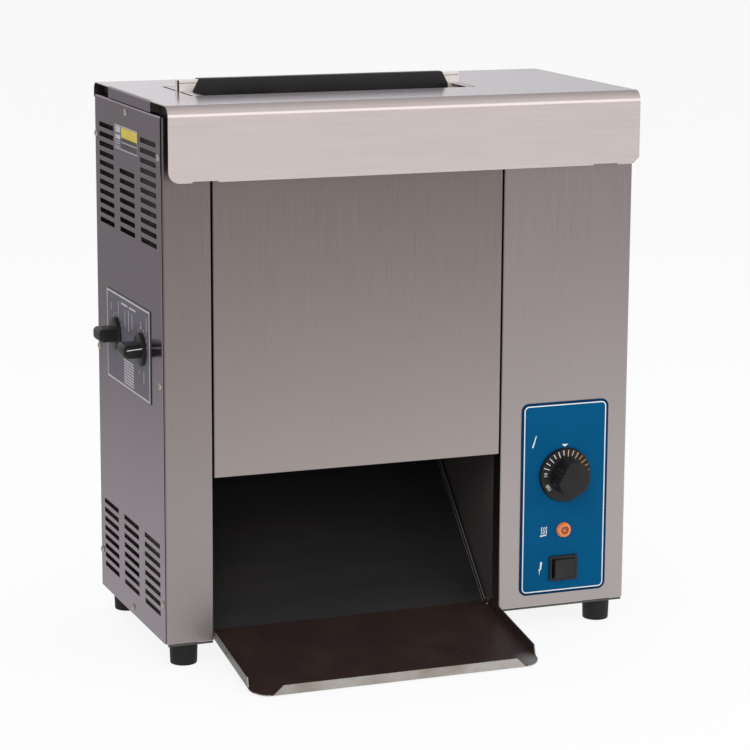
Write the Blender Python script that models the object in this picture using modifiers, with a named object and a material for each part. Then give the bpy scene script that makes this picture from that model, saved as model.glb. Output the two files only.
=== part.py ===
"""Vertical contact toaster for a kitchen counter, in metres, +Z up.

Two belts carry the work down past both faces of an upright hot plate. It drops
onto a sloping chute and slides out to a tray between the two front columns.
The casing frame has its zero at the body's front lower left corner: +X runs to
the viewer's right, +Y to the back, and Z is zero at the casing's lower edge.
"""
import math

import bmesh
import bpy
from mathutils import Matrix, Vector

# Casing
BODY_WIDTH = 0.5735
BODY_DEPTH = 0.2705
BODY_HEIGHT = 0.599
SHEET = 0.0012
FIT_GAP = 0.0003
RETURN_DEPTH = 0.020
PAN_FLANGE = 0.016
SIDE_SETBACK = 0.003
SIDE_LIP = 0.008
LEFT_COLUMN_WIDTH = 0.0570
SEAM = 0.0018
CONTROL_COLUMN_WIDTH = 0.1634
FRONT_COVER_RETURN = 0.012
MOUTH_HEIGHT = 0.190
MOUTH_CUT_DEPTH = 0.050
RAIL_HEIGHT = 0.030
RAIL_DEPTH = 0.014

# Side panel slots
SLOT_LENGTH_SHARE = 0.2270
SLOT_HEIGHT = 0.0057
SLOT_PITCH = 0.01125
SLOT_COLUMN_SHARE = 0.3150
UPPER_SLOTS_DROP = 0.0308
LOWER_SLOTS_RISE = 0.0343
UPPER_ROWS = 11
LABEL_ROWS = 4
LOWER_ROWS = 8

# Top cover
TOP_RISE = 0.0136
SKIRT_REACH = 0.029
SKIRT_HEIGHT = 0.084
TOP_EDGE_RADIUS = 0.0125
TOP_RIGHT_INSET = 0.0067
SKIRT_CORNER_RADIUS = 0.013
SKIRT_CHAMFER = 0.0075
BACK_FLANGE = 0.018
END_FLANGE_START = 0.039
END_FLANGE_MARGIN = 0.0615
FEED_INSET_LEFT = 0.0005
FEED_INSET_RIGHT = 0.0057
FEED_DEPTH = 0.115

# Feet
FOOT_HEIGHT = 0.0282
FOOT_TOP_RADIUS = 0.0163
FOOT_TIP_RADIUS = 0.0142
FOOT_INSET_X = 0.0267
FOOT_INSET_Y = 0.0195

# Chute and tray
CHUTE_SIDE_GAP = 0.0045
TRAY_SIDE_GAP = 0.0025
CHUTE_ANGLE = math.radians(44.0)
CHUTE_FOOT_Y = 0.0330
CHUTE_FOOT_Z = 0.0012
CHUTE_BACK_SETBACK = 0.0347
CHUTE_BACK_HEIGHT = 0.040
CHUTE_FLANGE = 0.006
TRAY_REACH = 0.136
TRAY_DROP = 0.0040
TRAY_FLOOR_GAP = 0.0012
TRAY_LIP = 0.012
TRAY_CORNER = 0.022
TRAY_FLANGE_START = 0.008
TRAY_TRAVEL = 0.150

# Belts and hot plate
FEED_CENTRE_OFFSET = -0.00525
CONVEYOR_OFFSET = 0.0513
WALL = 0.002
DRIVE_ROLLER_RISE = 0.025
IDLER_ROLLER_DROP = 0.039
ROLLER_RADIUS = 0.0125
SHAFT_RADIUS = 0.004
BELT_THICKNESS = 0.0015
BELT_RUN_GAP = 0.0006
BELT_SIDE_GAP = 0.006
BEARING_BAR_WIDTH = 0.018
BEARING_BAR_THICKNESS = 0.006
BEARING_BAR_END = 0.012
PLATEN_THICKNESS = 0.024
PLATEN_RISE = 0.010
PLATEN_DROP = 0.014
CAP_DEPTH = 0.012
CAP_RISE = 0.0132
CAP_END_GAP = 0.0006
RELEASE_SHEET = 0.0005
RELEASE_INSET_LEFT = 0.0180
RELEASE_INSET_RIGHT = 0.0149
RELEASE_RISE = 0.010
HEATER_RADIUS = 0.004
HEATER_SHARE = 0.85
HEATER_TERMINAL = 0.012
SHIELD_SETBACK = 0.030

# Thickness controls
KNOB_HEIGHT_SHARE = 0.5459
KNOB_RADIUS = 0.0190
KNOB_DISC = 0.005
KNOB_REACH = 0.0263
KNOB_GRIP_LENGTH = 0.034
KNOB_GRIP_THICKNESS = 0.0155
KNOB_TURN = math.radians(150.0)
PLATE_THICKNESS = 0.002
PLATE_TRAVEL = 0.005
PLATE_RETURN = 0.005
PLATE_END_CLEARANCE = 0.014
GUIDE_ROD_RADIUS = 0.003
GUIDE_ROD_INSET = 0.030
CAM_GAP = 0.0008
CAM_WIDTH = 0.008
CAM_INSET = 0.060
LABEL_THICKNESS = 0.0008
THICKNESS_LABEL_MARGIN = 0.0465
THICKNESS_LABEL_HEIGHT = 0.107
THICKNESS_LABEL_DROP = 0.005

# Chain drive
CHAIN_PITCH_RADIUS = 0.0165
CHAIN_THICKNESS = 0.005
CHAIN_WIDTH = 0.005
CHAIN_GAP = 0.0006
SPROCKET_TEETH = 15
TOOTH_DEPTH = 0.0022
SPROCKET_THICKNESS = 0.003
SPROCKET_STANDOFF = 0.006
HUB_RADIUS = 0.0085
MOTOR_OFFSET = 0.075
MOTOR_DROP = 0.100
TENSIONER_OFFSET = 0.080
TENSIONER_RISE = 0.085
BRACKET_THICKNESS = 0.002
BRACKET_STANDOFF = 0.017
BRACKET_DEPTH = 0.090
BRACKET_FOOT = 0.070
GEARBOX_SIZE = 0.072
GEARBOX_LENGTH = 0.045
MOTOR_RADIUS = 0.030
MOTOR_LENGTH = 0.060
MOTOR_SHAFT_RADIUS = 0.005
MOTOR_SHAFT_DEPTH = 0.012
TENSIONER_PLATE = 0.028

# Control panel
LABEL_WIDTH = 0.1118
LABEL_HEIGHT = 0.233
LABEL_BOTTOM = 0.0137
LABEL_INSET_X = 0.0252
LABEL_CORNER = 0.009
DIAL_Z = 0.1585
DIAL_RADIUS = 0.03275
DIAL_SKIRT = 0.0045
DIAL_GRIP_RADIUS = 0.0207
DIAL_GRIP_HEIGHT = 0.024
DIAL_FLAT = 0.0155
DIAL_FLAT_ANGLE = math.radians(151.0)
THERMOSTAT_WIDTH = 0.042
THERMOSTAT_DEPTH = 0.034
BUSH_RADIUS = 0.005
SPINDLE_RADIUS = 0.003
SPINDLE_DEPTH = 0.012
LAMP_Z = 0.0908
LAMP_RADIUS = 0.0093
LAMP_RISE = 0.005
LAMP_BODY_RADIUS = 0.0065
LAMP_BODY_DEPTH = 0.024
SWITCH_Z = 0.0444
SWITCH_WIDTH = 0.0365
SWITCH_HEIGHT = 0.0305
SWITCH_BEZEL = 0.0022
SWITCH_RIM = 0.0018
SWITCH_DEPTH = 0.024
SWITCH_WALL = 0.0018
ROCKER_TILT = math.radians(6.0)
ROCKER_PROUD = 0.0045
ROCKER_DIP = 0.0008
ROCKER_GAP = 0.0006

# Cooling fan, contactor and cable gland
FAN_SIZE = 0.092
FAN_DEPTH = 0.025
FAN_DROP = 0.179
FAN_BORE_GAP = 0.003
FAN_HUB_RADIUS = 0.017
FAN_ROOT_SHARE = 0.9
FAN_SPAN_SHARE = 0.8
FAN_BLADES = 7
FAN_BLADE = 0.0016
FAN_BLADE_PITCH = math.radians(38.0)
FAN_SPOKE = 0.005
FAN_PIN_RADIUS = 0.0025
GRILLE_SLOTS = 7
CONTACTOR_WIDTH = 0.048
CONTACTOR_DEPTH = 0.056
CONTACTOR_HEIGHT = 0.062
CONTACTOR_Y = 0.050
CONTACTOR_STEP = 0.012
GLAND_X_INSET = 0.055
GLAND_Z = 0.060
GLAND_RADIUS = 0.0125
GLAND_BORE = 0.0045
GLAND_NECK = 0.0090
GLAND_REACH = 0.022
GLAND_TAIL = 0.012

OVERRUN = 0.004
ROUND_SIDES = 24
SMALL_SIDES = 16

# Places worked out from the sizes above
SLOT_LENGTH = BODY_DEPTH * SLOT_LENGTH_SHARE
SLOT_COLUMN_PITCH = BODY_DEPTH * SLOT_COLUMN_SHARE
THICKNESS_LABEL_WIDTH = BODY_DEPTH - 2 * THICKNESS_LABEL_MARGIN
END_FLANGE_LENGTH = BODY_DEPTH - END_FLANGE_START - END_FLANGE_MARGIN
FEED_CENTRE_Y = BODY_DEPTH / 2 + FEED_CENTRE_OFFSET
FRONT_COVER_WIDTH = BODY_WIDTH - LEFT_COLUMN_WIDTH - CONTROL_COLUMN_WIDTH - 2 * SEAM
DRIVE_ROLLER_Z = MOUTH_HEIGHT + DRIVE_ROLLER_RISE
IDLER_ROLLER_Z = BODY_HEIGHT - IDLER_ROLLER_DROP
PLATEN_BOTTOM = DRIVE_ROLLER_Z + PLATEN_RISE
PLATEN_TOP = BODY_HEIGHT - PLATEN_DROP
RELEASE_BOTTOM = PLATEN_BOTTOM + RELEASE_RISE
KNOB_Z = BODY_HEIGHT * KNOB_HEIGHT_SHARE
MOTOR_Y = FEED_CENTRE_Y + MOTOR_OFFSET
MOTOR_Z = DRIVE_ROLLER_Z - MOTOR_DROP
TENSIONER_Y = FEED_CENTRE_Y + TENSIONER_OFFSET
TENSIONER_Z = DRIVE_ROLLER_Z + TENSIONER_RISE
FAN_Z = BODY_HEIGHT - FAN_DROP
CHUTE_RUN = FEED_CENTRE_Y + CONVEYOR_OFFSET + CHUTE_BACK_SETBACK - CHUTE_FOOT_Y
CHASSIS_X = SHEET + FIT_GAP
CHASSIS_END_X = BODY_WIDTH - CHASSIS_X
FRAME_HEIGHT = BODY_HEIGHT - SHEET - FIT_GAP
TOP_Z = BODY_HEIGHT + TOP_RISE
TOP_WIDTH = BODY_WIDTH - TOP_RIGHT_INSET
BAY_LEFT = LEFT_COLUMN_WIDTH
COVER_X = LEFT_COLUMN_WIDTH + SEAM
BAY_RIGHT = COVER_X + FRONT_COVER_WIDTH + SEAM
FEED_START_X = BAY_LEFT + FEED_INSET_LEFT
FEED_WIDTH = BAY_RIGHT - FEED_INSET_RIGHT - FEED_START_X
RELEASE_START_X = FEED_START_X + RELEASE_INSET_LEFT
RELEASE_WIDTH = FEED_WIDTH - RELEASE_INSET_LEFT - RELEASE_INSET_RIGHT
HEATER_LENGTH = HEATER_SHARE * (BAY_RIGHT - BAY_LEFT)
WALL_START_Y = RETURN_DEPTH + FIT_GAP
INSIDE_BACK_Y = BODY_DEPTH - SHEET - FIT_GAP
TOP_BACK_Y = BODY_DEPTH + FIT_GAP + SHEET
FEED_FRONT_Y = FEED_CENTRE_Y - FEED_DEPTH / 2
PAN_TOP = SHEET + FIT_GAP
BELT_INNER_RADIUS = ROLLER_RADIUS + BELT_RUN_GAP
BELT_WIDTH = BAY_RIGHT - BAY_LEFT - 2 * BELT_SIDE_GAP
BAR_LEFT_X = BAY_LEFT - WALL - FIT_GAP - BEARING_BAR_THICKNESS
BAR_RIGHT_X = BAY_RIGHT + WALL + FIT_GAP
BAR_OUTER_X = BAR_RIGHT_X + BEARING_BAR_THICKNESS
CHAIN_X = BAR_OUTER_X + SPROCKET_STANDOFF
SHAFT_CLEAR_RADIUS = SHAFT_RADIUS + FIT_GAP
CONTROL_X = BODY_WIDTH - LABEL_INSET_X - LABEL_WIDTH / 2
TRAY_LEFT = BAY_LEFT + TRAY_SIDE_GAP
TRAY_WIDTH = BAY_RIGHT - BAY_LEFT - 2 * TRAY_SIDE_GAP
TRAY_REAR_Y = CHUTE_FOOT_Y - SHEET * math.sin(CHUTE_ANGLE) - FIT_GAP
TRAY_SLOPE = math.atan2(FOOT_HEIGHT - TRAY_DROP - TRAY_FLOOR_GAP, TRAY_REACH)
TRAY_LENGTH = (TRAY_REACH + TRAY_REAR_Y) / math.cos(TRAY_SLOPE)
TRAY_REAR_Z = TRAY_REAR_Y * math.tan(TRAY_SLOPE) - TRAY_DROP
TRAY_TIP_Y = TRAY_REAR_Y - TRAY_LENGTH * math.cos(TRAY_SLOPE) - TRAY_LIP * math.sin(TRAY_SLOPE)
PLATE_FACE = BELT_INNER_RADIUS - 2 * FIT_GAP
CAM_REST_RADIUS = PLATE_FACE - PLATE_THICKNESS - CAM_GAP
CENTRE_X = (BODY_WIDTH - KNOB_REACH) / 2
CENTRE_Y = (BODY_DEPTH + GLAND_REACH + TRAY_TIP_Y) / 2

for old in list(bpy.data.objects):
    bpy.data.objects.remove(old, do_unlink=True)

parts = bpy.data.collections.new("vertical_contact_toaster")
cutters = bpy.data.collections.new("cutters")
bpy.context.scene.collection.children.link(parts)
bpy.context.scene.collection.children.link(cutters)

casing = bpy.data.objects.new("casing_frame", None)
casing.location = (-CENTRE_X, -CENTRE_Y, FOOT_HEIGHT)
parts.objects.link(casing)


def finish(name, colour, roughness, metallic):
    """Return a Principled material, made once for each name."""
    material = bpy.data.materials.get(name)
    if material is None:
        material = bpy.data.materials.new(name)
        material.use_nodes = True
        shader = material.node_tree.nodes["Principled BSDF"]
        shader.inputs["Base Color"].default_value = (*colour, 1.0)
        shader.inputs["Roughness"].default_value = roughness
        shader.inputs["Metallic"].default_value = metallic
        material.diffuse_color = (*colour, 1.0)
    return material


BRUSHED = finish("brushed_steel", (0.56, 0.54, 0.53), 0.34, 1.0)
BRIGHT = finish("bright_steel", (0.78, 0.77, 0.77), 0.22, 1.0)
SIDE = finish("side_steel", (0.38, 0.37, 0.39), 0.42, 1.0)
DARK = finish("dark_coated_steel", (0.018, 0.017, 0.017), 0.5, 0.2)
GALVANISED = finish("galvanised_steel", (0.45, 0.46, 0.47), 0.5, 1.0)
MACHINED = finish("machined_steel", (0.5, 0.5, 0.5), 0.3, 1.0)
CAST = finish("cast_aluminium", (0.62, 0.62, 0.63), 0.45, 1.0)
BELTING = finish("belt_silicone", (0.22, 0.20, 0.18), 0.7, 0.0)
COATED_CLOTH = finish("release_cloth", (0.02, 0.02, 0.022), 0.4, 0.0)
BLACK = finish("black_plastic", (0.012, 0.012, 0.013), 0.38, 0.0)
RUBBER = finish("foot_rubber", (0.02, 0.019, 0.021), 0.75, 0.0)
BLUE = finish("panel_blue", (0.0, 0.085, 0.215), 0.4, 0.0)
GREY_LABEL = finish("label_grey", (0.13, 0.13, 0.145), 0.45, 0.3)
AMBER = finish("amber_lens", (0.85, 0.22, 0.06), 0.25, 0.0)
BRASS = finish("heater_sheath", (0.5, 0.4, 0.25), 0.4, 1.0)
PAINTED = finish("motor_paint", (0.08, 0.08, 0.085), 0.55, 0.3)


def add_mesh(bm, name, material, location=(0, 0, 0), cutter=False):
    """Turn a bmesh into an object of the casing frame."""
    mesh = bpy.data.meshes.new(name)
    bm.to_mesh(mesh)
    bm.free()
    obj = bpy.data.objects.new(name, mesh)
    obj.parent = casing
    obj.location = location
    if cutter:
        cutters.objects.link(obj)
        obj.hide_render = True
        obj.display_type = "WIRE"
    else:
        parts.objects.link(obj)
        mesh.materials.append(material)
    return obj


def boolean(target, other, operation):
    """Cut or join with the EXACT solver; the other shape is kept as a cutter."""
    modifier = target.modifiers.new(operation.lower() + "_" + other.name, "BOOLEAN")
    modifier.operation = operation
    modifier.solver = "EXACT"
    modifier.object = other
    return target


def cut(target, other):
    return boolean(target, other, "DIFFERENCE")


def join(target, other):
    return boolean(target, other, "UNION")


def smooth(obj, angle=math.radians(40.0)):
    """Shade a round piece smooth, with its hard edges kept."""
    obj.data.shade_smooth()
    obj.data.set_sharp_from_angle(angle=angle)
    return obj


def block(name, low, high, material=None):
    """A box between two corners; with no material it is a cutter."""
    low = Vector(low)
    high = Vector(high)
    bm = bmesh.new()
    bmesh.ops.create_cube(bm, size=1.0)
    bmesh.ops.scale(bm, vec=high - low, verts=bm.verts)
    return add_mesh(bm, name, material, (low + high) / 2, cutter=material is None)


def slot_cutter(name, boxes):
    """One cutter of many separate boxes, each given by its two corners."""
    bm = bmesh.new()
    for low, high in boxes:
        low = Vector(low)
        high = Vector(high)
        made = bmesh.ops.create_cube(bm, size=1.0)
        bmesh.ops.scale(bm, vec=high - low, verts=made["verts"])
        bmesh.ops.translate(bm, vec=(low + high) / 2, verts=made["verts"])
    return add_mesh(bm, name, None, cutter=True)


TURN_TO = {
    "X": Matrix.Rotation(math.radians(90.0), 4, "Y"),
    "Y": Matrix.Rotation(math.radians(-90.0), 4, "X"),
    "Z": Matrix.Identity(4),
}


def rod(name, radius, length, start, axis="X", material=None, tip_radius=None, sides=SMALL_SIDES):
    """A cylinder or cone that starts at a point and runs along +axis."""
    bm = bmesh.new()
    tip = radius if tip_radius is None else tip_radius
    bmesh.ops.create_cone(bm, cap_ends=True, segments=sides, radius1=radius, radius2=tip, depth=length)
    bmesh.ops.translate(bm, vec=(0, 0, length / 2), verts=bm.verts)
    bmesh.ops.transform(bm, matrix=TURN_TO[axis], verts=bm.verts)
    obj = add_mesh(bm, name, material, start, cutter=material is None)
    return smooth(obj)


def turned(name, profile, centre, axis, material, sides=ROUND_SIDES):
    """Turn (radius, distance) points, listed from far to near, round the axis."""
    bm = bmesh.new()
    points = [bm.verts.new((radius, 0, along)) for radius, along in profile]
    for first, second in zip(points, points[1:]):
        bm.edges.new((first, second))
    obj = add_mesh(bm, name, material, centre)
    screw = obj.modifiers.new("turn", "SCREW")
    screw.steps = sides
    screw.render_steps = sides
    screw.use_merge_vertices = True
    screw.merge_threshold = 0.00001
    screw.use_smooth_shade = False
    obj.rotation_euler = TURN_TO[axis].to_euler()
    return obj


def folded(name, points, run, outside, material, thickness=SHEET):
    """Fold a sheet: a line of outer points drawn along run, thickened inwards."""
    bm = bmesh.new()
    row = [bm.verts.new(point) for point in points]
    edges = [bm.edges.new(pair) for pair in zip(row, row[1:])]
    made = bmesh.ops.extrude_edge_only(bm, edges=edges)
    moved = [item for item in made["geom"] if isinstance(item, bmesh.types.BMVert)]
    bmesh.ops.translate(bm, vec=run, verts=moved)
    bm.normal_update()
    bm.faces.ensure_lookup_table()
    first = min(bm.faces, key=lambda face: (face.calc_center_median() - Vector(points[0])).length)
    if first.normal.dot(Vector(outside)) < 0:
        bmesh.ops.reverse_faces(bm, faces=bm.faces)
    obj = add_mesh(bm, name, material)
    thicken(obj, thickness)
    return obj


def thicken(obj, thickness):
    """Give an open surface its wall, on the inner side of its faces."""
    wall = obj.modifiers.new("wall", "SOLIDIFY")
    wall.thickness = thickness
    wall.offset = -1.0
    wall.use_even_offset = True
    return wall


def prism(name, outline, axis, start, length, material=None):
    """A flat outline in the plane across X, Y or Z, given depth along that axis."""
    bm = bmesh.new()
    spread = {
        "X": lambda a, b: (start, a, b),
        "Y": lambda a, b: (a, start, b),
        "Z": lambda a, b: (a, b, start),
    }[axis]
    face = bm.faces.new([bm.verts.new(spread(a, b)) for a, b in outline])
    made = bmesh.ops.extrude_face_region(bm, geom=[face])
    moved = [item for item in made["geom"] if isinstance(item, bmesh.types.BMVert)]
    step = {"X": (length, 0, 0), "Y": (0, length, 0), "Z": (0, 0, length)}[axis]
    bmesh.ops.translate(bm, vec=step, verts=moved)
    bmesh.ops.recalc_face_normals(bm, faces=bm.faces)
    return add_mesh(bm, name, material, cutter=material is None)


def put_origin(obj, point):
    """Move an object's origin to a point of the casing frame, with its mesh in place."""
    shift = Vector(point) - obj.location
    obj.data.transform(Matrix.Translation(-shift))
    obj.location = point
    return obj


def rounded_rectangle(left, bottom, width, height, radius, steps=4):
    """Outline of a rectangle with arcs at its corners."""
    right = left + width
    top = bottom + height
    corners = [
        (right - radius, bottom + radius, -90.0),
        (right - radius, top - radius, 0.0),
        (left + radius, top - radius, 90.0),
        (left + radius, bottom + radius, 180.0),
    ]
    outline = []
    for centre_a, centre_b, begin in corners:
        for step in range(steps + 1):
            angle = math.radians(begin + 90.0 * step / steps)
            outline.append((centre_a + radius * math.cos(angle), centre_b + radius * math.sin(angle)))
    return outline


# Casing shells

def make_base_pan():
    left = CHASSIS_X + SHEET + FIT_GAP
    right = BODY_WIDTH - left
    front = SHEET + FIT_GAP
    points = [(left, front, PAN_FLANGE), (left, front, 0), (right, front, 0), (right, front, PAN_FLANGE)]
    pan = folded("base_pan", points, (0, INSIDE_BACK_Y - front, 0), (-1, 0, 0), GALVANISED)
    side = SHEET + FIT_GAP
    low = (BAY_LEFT - side, -OVERRUN, -OVERRUN)
    high = (BAY_RIGHT + side, MOUTH_CUT_DEPTH, PAN_FLANGE)
    cut(pan, block("pan_mouth_cutter", low, high))


def column(name, left, right, material):
    points = [(left, RETURN_DEPTH, 0), (left, 0, 0), (right, 0, 0), (right, RETURN_DEPTH, 0)]
    return folded(name, points, (0, 0, FRAME_HEIGHT), (-1, 0, 0), material)


def make_columns():
    column("left_front_column", CHASSIS_X, LEFT_COLUMN_WIDTH, BRUSHED)
    control = column("control_column", BAY_RIGHT, CHASSIS_END_X, BRUSHED)
    bush = BUSH_RADIUS + FIT_GAP
    cut(control, rod("bush_hole", bush, 2 * OVERRUN, (CONTROL_X, -OVERRUN, DIAL_Z), "Y"))
    lamp = LAMP_BODY_RADIUS + FIT_GAP
    cut(control, rod("lamp_hole", lamp, 2 * OVERRUN, (CONTROL_X, -OVERRUN, LAMP_Z), "Y"))
    cut(control, switch_opening("switch_hole", FIT_GAP))


def switch_opening(name, margin):
    """Cutter for the switch body's rectangular way through the panel."""
    half_width = SWITCH_WIDTH / 2 - SWITCH_RIM + margin
    half_height = SWITCH_HEIGHT / 2 - SWITCH_RIM + margin
    low = (CONTROL_X - half_width, -OVERRUN, SWITCH_Z - half_height)
    high = (CONTROL_X + half_width, OVERRUN, SWITCH_Z + half_height)
    return block(name, low, high)


def make_front_cover():
    right = COVER_X + FRONT_COVER_WIDTH
    base = MOUTH_HEIGHT
    points = [(COVER_X, FRONT_COVER_RETURN, base), (COVER_X, 0, base)]
    points += [(right, 0, base), (right, FRONT_COVER_RETURN, base)]
    folded("front_cover", points, (0, 0, FRAME_HEIGHT - base), (-1, 0, 0), BRUSHED)
    front = FRONT_COVER_RETURN + FIT_GAP
    top = FRAME_HEIGHT - FIT_GAP
    start = BAY_LEFT + FIT_GAP
    rail = [(start, front + RAIL_DEPTH, top - RAIL_HEIGHT), (start, front, top - RAIL_HEIGHT)]
    rail += [(start, front, top), (start, front + RAIL_DEPTH, top)]
    run = BAY_RIGHT - BAY_LEFT - 2 * FIT_GAP
    folded("front_cross_rail", rail, (run, 0, 0), (0, 0, -1), GALVANISED)


def make_rear_cover():
    back = BODY_DEPTH
    front = back - RETURN_DEPTH
    points = [(CHASSIS_X, front, 0), (CHASSIS_X, back, 0), (CHASSIS_END_X, back, 0), (CHASSIS_END_X, front, 0)]
    cover = folded("rear_cover", points, (0, 0, FRAME_HEIGHT), (-1, 0, 0), SIDE)
    hole = GLAND_NECK + FIT_GAP
    gland = (BODY_WIDTH - GLAND_X_INSET, back - OVERRUN, GLAND_Z)
    cut(cover, rod("gland_hole", hole, 2 * OVERRUN, gland, "Y"))
    boxes = []
    fan_x = fan_centre_x()
    pitch = FAN_SIZE / (GRILLE_SLOTS + 1)
    for row in range(GRILLE_SLOTS):
        middle = FAN_Z + pitch * (row - (GRILLE_SLOTS - 1) / 2)
        half = math.sqrt((FAN_SIZE / 2) ** 2 - (middle - FAN_Z) ** 2) - FAN_SPOKE
        low = (fan_x - half, back - OVERRUN, middle - pitch / 4)
        boxes.append((low, (fan_x + half, back + OVERRUN, middle + pitch / 4)))
    cut(cover, slot_cutter("fan_grille_cutter", boxes))


def side_slots(x_start):
    """Boxes for the two groups of louvre slots in a side panel."""
    boxes = []
    middle_y = BODY_DEPTH / 2
    for column_index in (-1, 0, 1):
        centre = middle_y + column_index * SLOT_COLUMN_PITCH
        first = LABEL_ROWS if column_index == 0 else 0
        tops = [BODY_HEIGHT - UPPER_SLOTS_DROP - SLOT_PITCH * row for row in range(first, UPPER_ROWS)]
        low_top = LOWER_SLOTS_RISE + SLOT_PITCH * (LOWER_ROWS - 1)
        tops += [low_top - SLOT_PITCH * row for row in range(LOWER_ROWS)]
        for top in tops:
            low = (x_start - OVERRUN, centre - SLOT_LENGTH / 2, top - SLOT_HEIGHT)
            boxes.append((low, (x_start + OVERRUN, centre + SLOT_LENGTH / 2, top)))
    return boxes


def make_side_panels():
    run = (0, BODY_DEPTH - 2 * SIDE_SETBACK, 0)
    for side, outer, inward in (("left", 0, 1), ("right", BODY_WIDTH, -1)):
        points = [(outer, SIDE_SETBACK, 0), (outer, SIDE_SETBACK, BODY_HEIGHT)]
        points += [(outer + inward * SIDE_LIP, SIDE_SETBACK, BODY_HEIGHT)]
        panel = folded(side + "_side_panel", points, run, (-inward, 0, 0), SIDE)
        cut(panel, slot_cutter(side + "_slot_cutter", side_slots(outer)))
        if side == "left":
            for name, centre_y in knob_places():
                start = (-OVERRUN, centre_y, KNOB_Z)
                cut(panel, rod(name + "_panel_hole", SHAFT_CLEAR_RADIUS, 2 * OVERRUN, start))


def make_top_cover():
    """Top sheet with a rounded front edge, a skirt, and short flanges at both ends."""
    front = -SKIRT_REACH
    arc_y = front + TOP_EDGE_RADIUS
    arc_z = TOP_Z - TOP_EDGE_RADIUS
    profile = [(TOP_BACK_Y, TOP_Z - BACK_FLANGE), (TOP_BACK_Y, TOP_Z)]
    profile += [(END_FLANGE_START + END_FLANGE_LENGTH, TOP_Z), (END_FLANGE_START, TOP_Z)]
    for step in range(7):
        angle = math.radians(90.0 * step / 6)
        profile.append((arc_y - TOP_EDGE_RADIUS * math.sin(angle), arc_z + TOP_EDGE_RADIUS * math.cos(angle)))
    profile.append((front, TOP_Z - SKIRT_HEIGHT))
    bm = bmesh.new()
    row = [bm.verts.new((0, y, z)) for y, z in profile]
    edges = [bm.edges.new(pair) for pair in zip(row, row[1:])]
    made = bmesh.ops.extrude_edge_only(bm, edges=edges)
    moved = [item for item in made["geom"] if isinstance(item, bmesh.types.BMVert)]
    bmesh.ops.translate(bm, vec=(TOP_WIDTH, 0, 0), verts=moved)
    bm.normal_update()
    if min(bm.faces, key=lambda face: -face.calc_center_median().z).normal.z < 0:
        bmesh.ops.reverse_faces(bm, faces=bm.faces)
    ends = [edge for edge in bm.edges if is_end_edge(edge)]
    made = bmesh.ops.extrude_edge_only(bm, edges=ends)
    moved = [item for item in made["geom"] if isinstance(item, bmesh.types.BMVert)]
    bmesh.ops.translate(bm, vec=(0, 0, FIT_GAP - TOP_RISE), verts=moved)
    bmesh.ops.recalc_face_normals(bm, faces=bm.faces)
    top_face = max(bm.faces, key=lambda face: face.calc_center_median().z)
    if top_face.normal.z < 0:
        bmesh.ops.reverse_faces(bm, faces=bm.faces)
    low = [vert for vert in bm.verts if vert.co.z < TOP_Z - SKIRT_HEIGHT / 2]
    left = [vert for vert in low if vert.co.x < TOP_WIDTH / 2]
    right = [vert for vert in low if vert.co.x > TOP_WIDTH / 2]
    bmesh.ops.bevel(bm, geom=left, offset=SKIRT_CORNER_RADIUS, segments=5, profile=0.5, affect="VERTICES")
    bmesh.ops.bevel(bm, geom=right, offset=SKIRT_CHAMFER, segments=1, profile=0.5, affect="VERTICES")
    cover = add_mesh(bm, "top_cover", BRIGHT)
    thicken(cover, SHEET)
    feed_low = (FEED_START_X, FEED_FRONT_Y, TOP_Z - 2 * SHEET)
    feed_high = (FEED_START_X + FEED_WIDTH, FEED_FRONT_Y + FEED_DEPTH, TOP_Z + OVERRUN)
    cut(cover, block("feed_cutter", feed_low, feed_high))


def is_end_edge(edge):
    """True for the two end edges of the top sheet that carry a short flange."""
    first, second = (vert.co for vert in edge.verts)
    span = sorted((first.y, second.y))
    flat = abs(first.z - TOP_Z) < FIT_GAP and abs(second.z - TOP_Z) < FIT_GAP
    starts = abs(span[0] - END_FLANGE_START) < FIT_GAP
    stops = abs(span[1] - END_FLANGE_START - END_FLANGE_LENGTH) < FIT_GAP
    return flat and starts and stops and abs(first.x - second.x) < FIT_GAP


def make_feet():
    for side, x in (("left", FOOT_INSET_X), ("right", BODY_WIDTH - FOOT_INSET_X)):
        for end, y in (("front", FOOT_INSET_Y), ("rear", BODY_DEPTH - FOOT_INSET_Y)):
            height = FOOT_HEIGHT - FIT_GAP
            name = end + "_" + side + "_foot"
            rod(name, FOOT_TIP_RADIUS, height, (x, y, -FOOT_HEIGHT), "Z", RUBBER, FOOT_TOP_RADIUS, ROUND_SIDES)


# Inner frame

def knob_places():
    """The front and rear conveyor's centre lines."""
    front = FEED_CENTRE_Y - CONVEYOR_OFFSET
    return (("front", front), ("rear", FEED_CENTRE_Y + CONVEYOR_OFFSET))


def shaft_places(centre_y):
    return ((centre_y, DRIVE_ROLLER_Z), (centre_y, KNOB_Z), (centre_y, IDLER_ROLLER_Z))


def platen_side(name):
    """Direction along Y from a conveyor towards the hot plate."""
    return 1 if name == "front" else -1


def plate_span():
    low = DRIVE_ROLLER_Z + ROLLER_RADIUS + PLATE_END_CLEARANCE
    return low, IDLER_ROLLER_Z - ROLLER_RADIUS - PLATE_END_CLEARANCE


def guide_rod_places(name, centre_y):
    """Centres of a pressure plate's two guide rods."""
    low, high = plate_span()
    y = centre_y + platen_side(name) * (PLATE_FACE - GUIDE_ROD_RADIUS)
    return ((y, low + GUIDE_ROD_INSET), (y, high - GUIDE_ROD_INSET))


def heater_heights():
    span = PLATEN_TOP - PLATEN_BOTTOM
    return (("lower", PLATEN_BOTTOM + span / 4), ("upper", PLATEN_BOTTOM + span * 3 / 4))


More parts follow.
